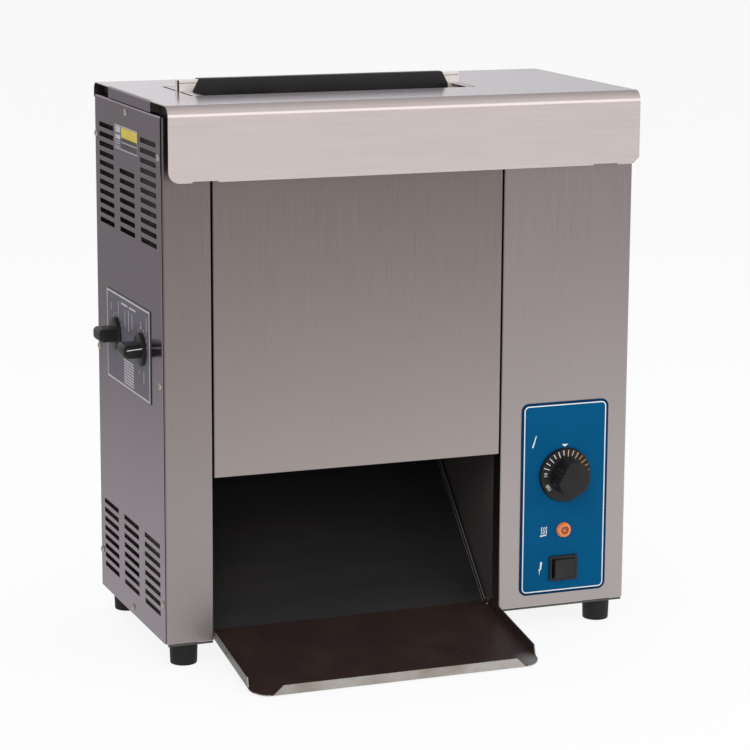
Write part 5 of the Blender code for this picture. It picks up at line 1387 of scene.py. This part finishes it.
class TOASTER_OT_switch(bpy.types.Operator):
    """Power switch: bezel with a pocket, and a proud rocker with soft edges"""

    bl_idname = "toaster.switch"
    bl_label = "Power switch"

    def execute(self, context):
        low, high = placed("power_switch_body")
        rocker_low, rocker_high = placed("power_switch_rocker")
        bezel = soft_block((low.x, low.y, low.z), (high.x, SEAT, high.z), BEZEL_CORNER, 1, 4)
        front = [edge for edge in bezel.edges if max(vert.co.y for vert in edge.verts) < low.y + TINY]
        bevel_edges(bezel, front, BEZEL_SOFTNESS, 3)
        case = block((low.x + CASE_RIM, SEAT - TINY, low.z + CASE_RIM),
                     (high.x - CASE_RIM, high.y, high.z - CASE_RIM))
        pocket = block((low.x + POCKET_RIM, low.y - OVERRUN, low.z + POCKET_RIM),
                       (high.x - POCKET_RIM, POCKET_DEPTH, high.z - POCKET_RIM))
        make_piece("power_switch_bezel", merge([bezel, case]), ["switch_black"],
                   replaces=["power_switch_body"], cutters=[pocket])
        half_z = (rocker_high.z - rocker_low.z) / 2
        outline = [(-ROCKER_HALF, -ROCKER_PROUD), (-ROCKER_HALF * 0.5, ROCKER_DIP * 0.7 - ROCKER_PROUD),
                   (0.0, ROCKER_DIP - ROCKER_PROUD), (ROCKER_HALF * 0.5, ROCKER_DIP * 0.7 - ROCKER_PROUD),
                   (ROCKER_HALF, -ROCKER_PROUD), (ROCKER_HALF, ROCKER_DIP), (0.0, half_z),
                   (-ROCKER_HALF, ROCKER_DIP)]
        rocker = bmesh.new()
        face = rocker.faces.new([rocker.verts.new((x, y, -half_z)) for x, y in outline])
        made = bmesh.ops.extrude_face_region(rocker, geom=[face])
        bmesh.ops.translate(rocker, vec=(0, 0, 2 * half_z), verts=moved_verts(made))
        bmesh.ops.recalc_face_normals(rocker, faces=rocker.faces)
        proud_edges = [edge for edge in rocker.edges if edge.calc_face_angle(0.0) > math.radians(40)
                       and max(vert.co.y for vert in edge.verts) < ROCKER_DIP + TINY]
        bevel_edges(rocker, proud_edges, ROCKER_SOFTNESS, 3)
        pivot = Matrix.Translation((CONTROL_X, low.y + ROCKER_INSET, SWITCH_Z))
        bmesh.ops.transform(rocker, matrix=pivot @ Matrix.Rotation(ROCKER_TILT, 4, "Z"), verts=rocker.verts)
        make_piece("power_switch_button", rocker, ["switch_black"], body="power_rocker",
                   replaces=["power_switch_rocker"])
        return {"FINISHED"}


# Side plates and knobs

PLATE_CORNER, PLATE_INSET, PLATE_LINE = 0.0015, 0.0010, 0.0021
HEADINGS = ((0.103, 0.129), (0.136, 0.162))
HEADING_Z, HEADING_WIDTH = 0.3660, 0.0022
DASH_WIDTH = 0.0014
STRIPE_ENDS = (0.113, 0.153)
STRIPE_LOW, STRIPE_PITCH, STRIPE_WIDTH = 0.2750, 0.0033, 0.0017
SCALE_INNER, SCALE_OUTER, SCALE_WIDTH = 0.0222, 0.0252, 0.0008
# Upright dashes: y, and the heights of both ends.
DASHES = ((0.118, 0.343, 0.360), (0.1325, 0.338, 0.362), (0.147, 0.341, 0.359), (0.060, 0.350, 0.366),
          (0.083, 0.350, 0.358), (0.174, 0.350, 0.366), (0.205, 0.352, 0.360), (0.072, 0.288, 0.302),
          (0.090, 0.296, 0.302))
UPPER_PLATE = (0.0887, 0.1820, 0.5445, 0.5730)
UPPER_FACE = -0.0004
# Fields of the upper plate: left, bottom, width, height, corner radius and finish.
UPPER_FIELDS = ((0.0908, 0.5594, 0.0640, 0.0116, 0.0005, 2), (0.1590, 0.5638, 0.0190, 0.0072, 0.0005, 1),
                (0.1590, 0.5562, 0.0190, 0.0050, 0.0005, 1), (0.0908, 0.5550, 0.0640, 0.0042, 0.0003, 3),
                (0.0908, 0.5472, 0.0640, 0.0058, 0.0003, 3))
# Level lines of the upper plate: both ends and the height.
UPPER_LINES = ((0.0910, 0.1545, 0.5540), (0.1600, 0.1775, 0.5478), (0.1600, 0.1775, 0.5512),
               (0.1600, 0.1775, 0.5540))


class TOASTER_OT_side_plates(bpy.types.Operator):
    """Thickness plate behind the knobs and the blank plate near the top of the left side"""

    bl_idname = "toaster.side_plates"
    bl_label = "Side plates"

    def execute(self, context):
        low, high = placed("thickness_label")
        plate = stamped(rounded_outline(low.y, low.z, high.y - low.y, high.z - low.z, PLATE_CORNER, 3), "-X",
                        high.x, high.x - low.x)
        marks = self.frame_lines(low.x, low.y + PLATE_INSET, high.y - PLATE_INSET, low.z + PLATE_INSET,
                                 high.z - PLATE_INSET, PLATE_LINE)
        marks += self.scale_marks(low)
        holes = [shaft_hole(name) for name in ("front", "rear")]
        make_piece("thickness_plate", plate, ["plate_grey"], replaces=["thickness_label"],
                   cutters=holes)
        make_piece("thickness_plate_marks", merge(marks), ["plate_grey", "plate_line"])
        self.upper_plate()
        return {"FINISHED"}

    def frame_lines(self, x, start, stop, bottom, top, width):
        """Four strokes that frame a plate."""
        half = width / 2
        sides = (((start, bottom + half), (stop, bottom + half)), ((start, top - half), (stop, top - half)),
                 ((start + half, bottom + width), (start + half, top - width)),
                 ((stop - half, bottom + width), (stop - half, top - width)))
        return [(stroke(first, second, width, "-X", x), 1) for first, second in sides]

    def scale_marks(self, low):
        """Plain strokes: a heading bar, short upright dashes, a block of stripes, knob scales."""
        strokes = [((start, HEADING_Z), (stop, HEADING_Z), HEADING_WIDTH) for start, stop in HEADINGS]
        strokes += [((y, bottom), (y, top), DASH_WIDTH) for y, bottom, top in DASHES]
        for row in range(9):
            first, last = ((y, STRIPE_LOW + STRIPE_PITCH * row) for y in STRIPE_ENDS)
            strokes.append((first, last, STRIPE_WIDTH))
        made = [(stroke(first, last, width, "-X", low.x), 1) for first, last, width in strokes]
        for name in ("front", "rear"):
            knob_low, knob_high = placed(name + "_thickness_knob")
            centre = Vector(((knob_low.y + knob_high.y) / 2, (knob_low.z + knob_high.z) / 2))
            for index in range(9):
                angle = math.radians(15.0 + 150.0 * index / 8)
                out = Vector((-math.cos(angle), math.sin(angle)))
                made.append((stroke(centre + out * SCALE_INNER, centre + out * SCALE_OUTER, SCALE_WIDTH,
                                    "-X", low.x), 1))
        return made

    def upper_plate(self):
        """A blank plate with empty fields, where the real one carries its data."""
        start, stop, bottom, top = UPPER_PLATE
        outline = rounded_outline(start, bottom, stop - start, top - bottom, 0.0010, 2)
        parts = [(stamped(outline, "-X", -0.0001, 0.0003), 0)]
        for *field, finish in UPPER_FIELDS:
            parts.append((stamped(rounded_outline(*field, 2), "-X", UPPER_FACE), finish))
        for first, last, z in UPPER_LINES:
            parts.append((stroke((first, z), (last, z), 0.0009, "-X", UPPER_FACE), 1))
        parts += self.frame_lines(UPPER_FACE, start + 0.0004, stop - 0.0004, bottom + 0.0004, top - 0.0004,
                                  0.0010)
        make_piece("upper_side_plate", merge(parts), ["plate_grey", "plate_line", "plate_yellow", "rib_grey"])


KNOB_DISC, KNOB_RIM = 0.0048, 0.0030
KNOB_HALF_Y, KNOB_HALF_Z = 0.0170, 0.00775


class TOASTER_OT_thickness_knobs(bpy.types.Operator):
    """Front and rear thickness knobs, each a disc with a soft level bar and a white line"""

    bl_idname = "toaster.thickness_knobs"
    bl_label = "Thickness knobs"

    def execute(self, context):
        controls = context.scene.toaster_controls
        for name in ("front", "rear"):
            low, high = placed(name + "_thickness_knob")
            centre_y = (low.y + high.y) / 2
            centre_z = (low.z + high.z) / 2
            radius = (high.y - low.y) / 2
            base = high.x
            disc = spun([(0.0, KNOB_DISC), (radius - 0.0016, KNOB_DISC), (radius - 0.0005, 0.0042),
                         (radius, KNOB_RIM), (radius, 0.0), (0.0, 0.0)], 64, "-X", (base, centre_y, centre_z))
            bar = block((low.x, centre_y - KNOB_HALF_Y, centre_z - KNOB_HALF_Z),
                        (base - KNOB_RIM, centre_y + KNOB_HALF_Y, centre_z + KNOB_HALF_Z))
            outer = [edge for edge in bar.edges if max(vert.co.x for vert in edge.verts) < low.x + TINY]
            bevel_edges(bar, outer + parallel_edges(bar, 0), controls.knob_softness, 6)
            mark = bar_outline((low.x + 0.0030, centre_z + 0.0024), (base - 0.0005, centre_z + 0.0042), 0.0009)
            side = -1.0 if name == "front" else 1.0
            line = stamped(mark, "-Y", centre_y + side * (KNOB_HALF_Y - 0.0004) + 0.0006, 0.0012)
            make_piece(name + "_thickness_handle", merge([(disc, 0), (bar, 0), (line, 1)]), ["black", "ink"],
                       body=name + "_adjuster", replaces=[name + "_thickness_knob"])
        return {"FINISHED"}


# Feet, screws and cable gland

class TOASTER_OT_feet(bpy.types.Operator):
    """Four tapered rubber feet with rounded tips"""

    bl_idname = "toaster.feet"
    bl_label = "Feet"

    def execute(self, context):
        for end in ("front", "rear"):
            for side in ("left", "right"):
                node = end + "_" + side + "_foot"
                low, high = placed(node)
                height = high.z - low.z
                top = (high.x - low.x) / 2
                tip = top - 0.0010
                centre = ((low.x + high.x) / 2, (low.y + high.y) / 2, low.z)
                foot = spun([(0.0, height), (top, height), (top, height - 0.0015), (tip + 0.0002, 0.0034),
                             (tip, 0.0010), (tip - 0.0003, 0.0003), (tip - 0.0010, 0.0), (0.0045, 0.0),
                             (0.0042, 0.0040), (0.0, 0.0040)], 48, "Z", centre)
                make_piece(node + "_rubber", foot, ["rubber"], replaces=[node])
        return {"FINISHED"}


# Screws of each side panel as (y, z), and of the rear cover as (x, z).
SIDE_SCREWS = ((0.1367, 0.5897), (0.1318, 0.0085), (0.0095, 0.5530), (0.2625, 0.5530), (0.0095, 0.2975),
               (0.2625, 0.2975), (0.0095, 0.0455), (0.2625, 0.0455))
REAR_SCREWS = ((0.010, 0.012), (0.010, 0.560), (0.286, 0.012), (0.286, 0.560), (0.562, 0.012),
               (0.562, 0.560), (0.010, 0.297), (0.562, 0.297))
FAN_SCREW_INSET = 0.005
RIVET_PROFILE = ((0.0, 0.0010), (0.0012, 0.0009), (0.0020, 0.0005), (0.0023, 0.0), (0.0, 0.0))
RIVET_INSET, RIVET_Y, RIVET_Z = 0.0012, 0.0050, 0.0058


def screw_head(radius):
    """A low pan head with a cross recess, facing +Z."""
    height = radius * 0.55
    bm = spun([(0.0, height), (radius * 0.45, height * 0.96), (radius * 0.75, height * 0.78),
               (radius * 0.94, height * 0.45), (radius, height * 0.12), (radius, 0.0), (0.0, 0.0)], 24)
    head = scratch_object("screw", bm)
    for angle in (0.0, QUARTER):
        bar = block((-radius * 0.5, -radius * 0.09, height * 0.45), (radius * 0.5, radius * 0.09, height * 2))
        turn(bar, angle + 0.5, "Z")
        carve(head, bar)
    mesh = head.data
    bpy.data.objects.remove(head, do_unlink=True)
    return mesh


def screw_row(mesh, places, matrix):
    """Copies of one screw head at several places, all facing one way."""
    whole = bmesh.new()
    for place in places:
        before = len(whole.verts)
        whole.from_mesh(mesh)
        whole.verts.ensure_lookup_table()
        fresh = whole.verts[before:]
        bmesh.ops.transform(whole, matrix=Matrix.Translation(place) @ matrix, verts=fresh)
    return whole


class TOASTER_OT_screws(bpy.types.Operator):
    """Screw heads of the side panels and the rear cover, and the tray's rivets"""

    bl_idname = "toaster.screws"
    bl_label = "Screws"

    def execute(self, context):
        controls = context.scene.toaster_controls
        mesh = screw_head(controls.screw_radius)
        left = placed("left_side_panel")[0].x
        right = placed("right_side_panel")[1].x
        back = placed("rear_cover")[1].y
        fan_low, fan_high = placed("fan_frame")
        fan_screws = [(x, z) for x in (fan_low.x + FAN_SCREW_INSET, fan_high.x - FAN_SCREW_INSET)
                      for z in (fan_low.z + FAN_SCREW_INSET, fan_high.z - FAN_SCREW_INSET)]
        rows = [screw_row(mesh, [(x, y, z) for y, z in SIDE_SCREWS], AIMS[way])
                for x, way in ((left, "-X"), (right, "X"))]
        rows.append(screw_row(mesh, [(x, back, z) for x, z in (*REAR_SCREWS, *fan_screws)], AIMS["Y"]))
        make_piece("casing_screws", merge(rows), ["screw_steel"])
        self.rivets()
        return {"FINISHED"}

    def rivets(self):
        """One small rivet head inside each side of the tray."""
        low, high = placed("bun_tray")
        made = []
        for x, way, finish in ((low.x + RIVET_INSET, "X", 0), (high.x - RIVET_INSET, "-X", 1)):
            made.append((spun(RIVET_PROFILE, 20, way, (x, RIVET_Y, RIVET_Z)), finish))
        make_piece("tray_rivets", merge(made), ["screw_steel", "tray_coating"], body="tray")


GLAND_BORE, GLAND_TAIL, GLAND_BODY = 0.0045, 0.0090, 0.0098
NUT_HEIGHT, NUT_BORE, NUT_SOFTNESS = 0.0065, 0.0094, 0.0005


class TOASTER_OT_gland(bpy.types.Operator):
    """Cable gland on the back: hexagon, domed nut and its bore"""

    bl_idname = "toaster.gland"
    bl_label = "Cable gland"

    def execute(self, context):
        low, high = placed("cord_gland")
        centre_x, centre_z = (low.x + high.x) / 2, (low.z + high.z) / 2
        back = placed("rear_cover")[1].y + SHEET_GAP
        radius = (high.x - low.x) / 2
        reach = high.y - back
        tail = low.y - back
        body = spun([(GLAND_BORE, reach), (0.0062, reach), (0.0078, reach - 0.0012), (0.0092, reach - 0.0055),
                     (GLAND_BODY, NUT_HEIGHT), (GLAND_BODY, 0.0), (GLAND_TAIL, 0.0), (GLAND_TAIL, tail),
                     (GLAND_BORE, tail), (GLAND_BORE, reach)], 32, "Y", (centre_x, back, centre_z))
        nut = drum(radius, NUT_HEIGHT, 6, "Y", (centre_x, back + NUT_HEIGHT / 2, centre_z), NUT_SOFTNESS)
        ring = carved(nut, [drum(NUT_BORE, 0.02, 32, "Y", (centre_x, back, centre_z))])
        make_piece("cable_gland_nut", merge([body, ring]), ["black"], replaces=["cord_gland"])
        return {"FINISHED"}


# Finishes of the CAD nodes that stay

NODE_FINISHES = {
    "galvanised": ("base_pan", "front_cross_rail", "front_heat_shield", "rear_heat_shield",
                   "front_pressure_plate", "rear_pressure_plate", "motor_bracket", "tensioner_bracket"),
    "side_steel": ("rear_cover",),
    "inner_wall": ("left_inner_wall", "right_inner_wall"),
    "cast": ("platen",),
    "machined": ("front_drive_roller", "rear_drive_roller", "front_idler_roller", "rear_idler_roller",
                 "front_camshaft", "rear_camshaft", "front_sprocket", "rear_sprocket", "motor_sprocket",
                 "tensioner_sprocket", "drive_chain", "front_left_bearing_bar", "front_right_bearing_bar",
                 "rear_left_bearing_bar", "rear_right_bearing_bar"),
    "sheath": ("lower_heater_cartridge", "upper_heater_cartridge"),
    "motor_paint": ("gearmotor",),
    "black": ("thermostat_body", "power_contactor", "fan_frame", "fan_rotor"),
}


class TOASTER_OT_inner_finishes(bpy.types.Operator):
    """Finishes of the solids that are shown as they are"""

    bl_idname = "toaster.inner_finishes"
    bl_label = "Inner finishes"

    def execute(self, context):
        for finish, nodes in NODE_FINISHES.items():
            for node in nodes:
                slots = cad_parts[node].material_slots
                if not slots:
                    raise RuntimeError(node + " has no material slot")
                for slot in slots:
                    slot.material = FINISHES[finish]
        return {"FINISHED"}


# Stage

CAMERA_PLACE = Vector((-0.8424, -2.8271, 0.9199))
CAMERA_YAW = math.radians(21.16)
CAMERA_PITCH = math.radians(11.65)
CAMERA_ROLL = math.radians(0.3)
FOCAL_PIXELS = 2710.1
IMAGE_PIXELS = 750.0
SENSOR = 36.0
POOL_CENTRE = (1.25, -0.35, 0.0)
POOL_NEAR = 0.80
POOL_FAR = 3.0
POOL_DIM = 0.36
SKYLINE = 0.8
CEILING = 0.24
HORIZON = 1.3
BACKDROP = 0.72
# What metal mirrors of the world: two values of an axis, and the brightness at each.
SKY_STEPS = {"Z": (0.36, 0.46, SKYLINE, CEILING), "X": (-0.9, -0.2, 0.5, 1.0), "Y": (-0.6, 0.0, HORIZON, 1.0)}
SKY_BEHIND = (0.26, 0.42, 1.0, BACKDROP)
WORLD_STRENGTH = 0.62
FLOOR_WHITE = (0.86, 0.86, 0.86, 1.0)
FLOOR_SEEN = 0.88
WHITE = (1.0, 1.0, 1.0, 1.0)
# Area lamps: name, place, width and power.
LAMPS = (("key_lamp", (-1.6, -2.6, 2.6), 2.0, 46.0), ("fill_lamp", (2.6, -2.2, 1.7), 2.0, 18.0),
         ("top_lamp", (0.2, 0.3, 3.0), 2.2, 30.0))
LAMP_AIM = Vector((0.0, 0.0, 0.3))


class TOASTER_OT_stage(bpy.types.Operator):
    """Pale floor, soft lamps, plain world and the camera"""

    bl_idname = "toaster.stage"
    bl_label = "Stage"

    def execute(self, context):
        scene = context.scene
        scene.view_settings.view_transform = "Standard"
        self.floor()
        self.world(scene)
        for name, place, size, power in LAMPS:
            self.lamp(scene, name, place, size, power)
        self.camera(scene)
        return {"FINISHED"}

    def floor(self):
        bm = bmesh.new()
        bmesh.ops.create_grid(bm, x_segments=1, y_segments=1, size=40.0)
        obj = scratch_object("studio_floor", bm)
        finish = Finish("studio_floor", {"Base Color": FLOOR_WHITE, "Roughness": 0.9,
                                         "Specular IOR Level": 0.0})
        glow = add_node(finish.tree, "ShaderNodeEmission", {"Strength": self.pool(finish.tree)})
        self.blend(finish.tree, FLOOR_SEEN, finish.surface, glow, "Material Output")
        obj.data.materials.append(finish.material)

    def blend(self, tree, share, first, second, output):
        """Feed an output with one shader, and with a share of another where rays see the stage."""
        node = add_node(tree, "ShaderNodeMixShader", {0: self.seen(tree, share), 1: first.outputs[0],
                                                      2: second.outputs[0]})
        tree.links.new(node.outputs[0], tree.nodes[output].inputs["Surface"])

    def rays(self, tree):
        return add_node(tree, "ShaderNodeLightPath").outputs

    def pool(self, tree):
        """Floor light: even to the camera, and a pool round the object in what metal mirrors."""
        place = add_node(tree, "ShaderNodeTexCoord").outputs["Object"]
        fall = ranged(tree, distance(tree, place, POOL_CENTRE), POOL_NEAR, POOL_FAR, 0.0, POOL_DIM - 1.0)
        return maths(tree, "MULTIPLY_ADD", fall, self.rays(tree)["Is Glossy Ray"], 1.0)

    def mirrored_sky(self, tree):
        """What metal mirrors above the floor: a white band at the horizon under a grey ceiling."""
        place = add_node(tree, "ShaderNodeTexCoord").outputs["Generated"]
        axes = add_node(tree, "ShaderNodeSeparateXYZ", {"Vector": place}).outputs
        up, left, front = (ranged(tree, axes[axis], *steps) for axis, steps in SKY_STEPS.items())
        strength = maths(tree, "MULTIPLY", maths(tree, "MULTIPLY", up, left), front)
        corner = maths(tree, "MULTIPLY", axes["X"], axes["Y"])
        return maths(tree, "MULTIPLY", strength, ranged(tree, corner, *SKY_BEHIND))

    def seen(self, tree, share):
        """A share for camera, glossy and transmission rays, and zero for the rest."""
        rays = self.rays(tree)
        value = rays["Is Camera Ray"]
        for name in ("Is Glossy Ray", "Is Transmission Ray"):
            value = maths(tree, "MAXIMUM", value, rays[name])
        return maths(tree, "MULTIPLY", value, share)

    def world(self, scene):
        """Even light on the object, a white backdrop to the camera and the sky that metal mirrors."""
        world = bpy.data.worlds.new("studio_world")
        world.use_nodes = True
        tree = world.node_tree
        light = tree.nodes["Background"]
        light.inputs["Color"].default_value = WHITE
        light.inputs["Strength"].default_value = WORLD_STRENGTH
        sky = maths(tree, "SUBTRACT", self.mirrored_sky(tree), 1.0)
        strength = maths(tree, "MULTIPLY_ADD", sky, self.rays(tree)["Is Glossy Ray"], 1.0)
        white = add_node(tree, "ShaderNodeBackground", {"Color": WHITE, "Strength": strength})
        self.blend(tree, 1.0, light, white, "World Output")
        scene.world = world

    def lamp(self, scene, name, place, size, power):
        """A square lamp aimed at the object, which metal doesn't mirror."""
        data = bpy.data.lights.new(name, "AREA")
        data.shape = "SQUARE"
        data.size = size
        data.energy = power
        obj = bpy.data.objects.new(name, data)
        obj.location = place
        obj.rotation_euler = (LAMP_AIM - Vector(place)).to_track_quat("-Z", "Y").to_euler()
        obj.visible_glossy = False
        scene.collection.objects.link(obj)

    def camera(self, scene):
        data = bpy.data.cameras.new("photo_camera")
        data.sensor_width = SENSOR
        data.lens = FOCAL_PIXELS * SENSOR / IMAGE_PIXELS
        data.clip_start = 0.05
        data.clip_end = 100.0
        obj = bpy.data.objects.new("photo_camera", data)
        ahead = Vector((math.sin(CAMERA_YAW) * math.cos(CAMERA_PITCH),
                        math.cos(CAMERA_YAW) * math.cos(CAMERA_PITCH), -math.sin(CAMERA_PITCH)))
        level = Vector((math.cos(CAMERA_YAW), -math.sin(CAMERA_YAW), 0.0))
        rise = level.cross(ahead)
        right = level * math.cos(CAMERA_ROLL) + rise * math.sin(CAMERA_ROLL)
        up = rise * math.cos(CAMERA_ROLL) - level * math.sin(CAMERA_ROLL)
        aim = Matrix((right, up, -ahead)).transposed().to_4x4()
        obj.matrix_world = Matrix.Translation(CAMERA_PLACE + ZERO) @ aim
        scene.collection.objects.link(obj)
        scene.camera = obj


OPERATORS = (
    TOASTER_OT_stage, TOASTER_OT_inner_finishes, TOASTER_OT_top_cover, TOASTER_OT_side_panels,
    TOASTER_OT_front_sheets, TOASTER_OT_hot_plate_cap, TOASTER_OT_tray, TOASTER_OT_chute, TOASTER_OT_belts,
    TOASTER_OT_control_panel, TOASTER_OT_dial, TOASTER_OT_lamp, TOASTER_OT_switch,
    TOASTER_OT_side_plates, TOASTER_OT_thickness_knobs, TOASTER_OT_feet, TOASTER_OT_screws,
    TOASTER_OT_gland,
)


class TOASTER_PT_pieces(bpy.types.Panel):
    """Sidebar panel that lists the toaster's pieces and settings"""

    bl_idname = "TOASTER_PT_pieces"
    bl_label = "Contact toaster"
    bl_space_type = "VIEW_3D"
    bl_region_type = "UI"
    bl_category = "Toaster"

    def draw(self, context):
        for settings in ("toaster_sheet", "toaster_controls", "toaster_colours"):
            group = getattr(context.scene, settings)
            box = self.layout.box()
            for key in group.__annotations__:
                box.prop(group, key)
        for operator in OPERATORS:
            self.layout.operator(operator.bl_idname)


SETTINGS = {
    "toaster_sheet": ToasterSheetSettings,
    "toaster_controls": ToasterControlSettings,
    "toaster_colours": ToasterColourSettings,
}


def register():
    for name, group in SETTINGS.items():
        bpy.utils.register_class(group)
        setattr(bpy.types.Scene, name, PointerProperty(type=group))
    for operator in OPERATORS:
        bpy.utils.register_class(operator)
    bpy.utils.register_class(TOASTER_PT_pieces)


def unregister():
    bpy.utils.unregister_class(TOASTER_PT_pieces)
    for operator in reversed(OPERATORS):
        bpy.utils.unregister_class(operator)
    for name, group in reversed(SETTINGS.items()):
        delattr(bpy.types.Scene, name)
        bpy.utils.unregister_class(group)


def main():
    """Register the add-on, make the finishes and build every piece in order."""
    register()
    make_finishes(bpy.context.scene.toaster_colours)
    for operator in OPERATORS:
        getattr(bpy.ops.toaster, operator.bl_idname.split(".")[1])()


if __name__ == "__main__":
    main()
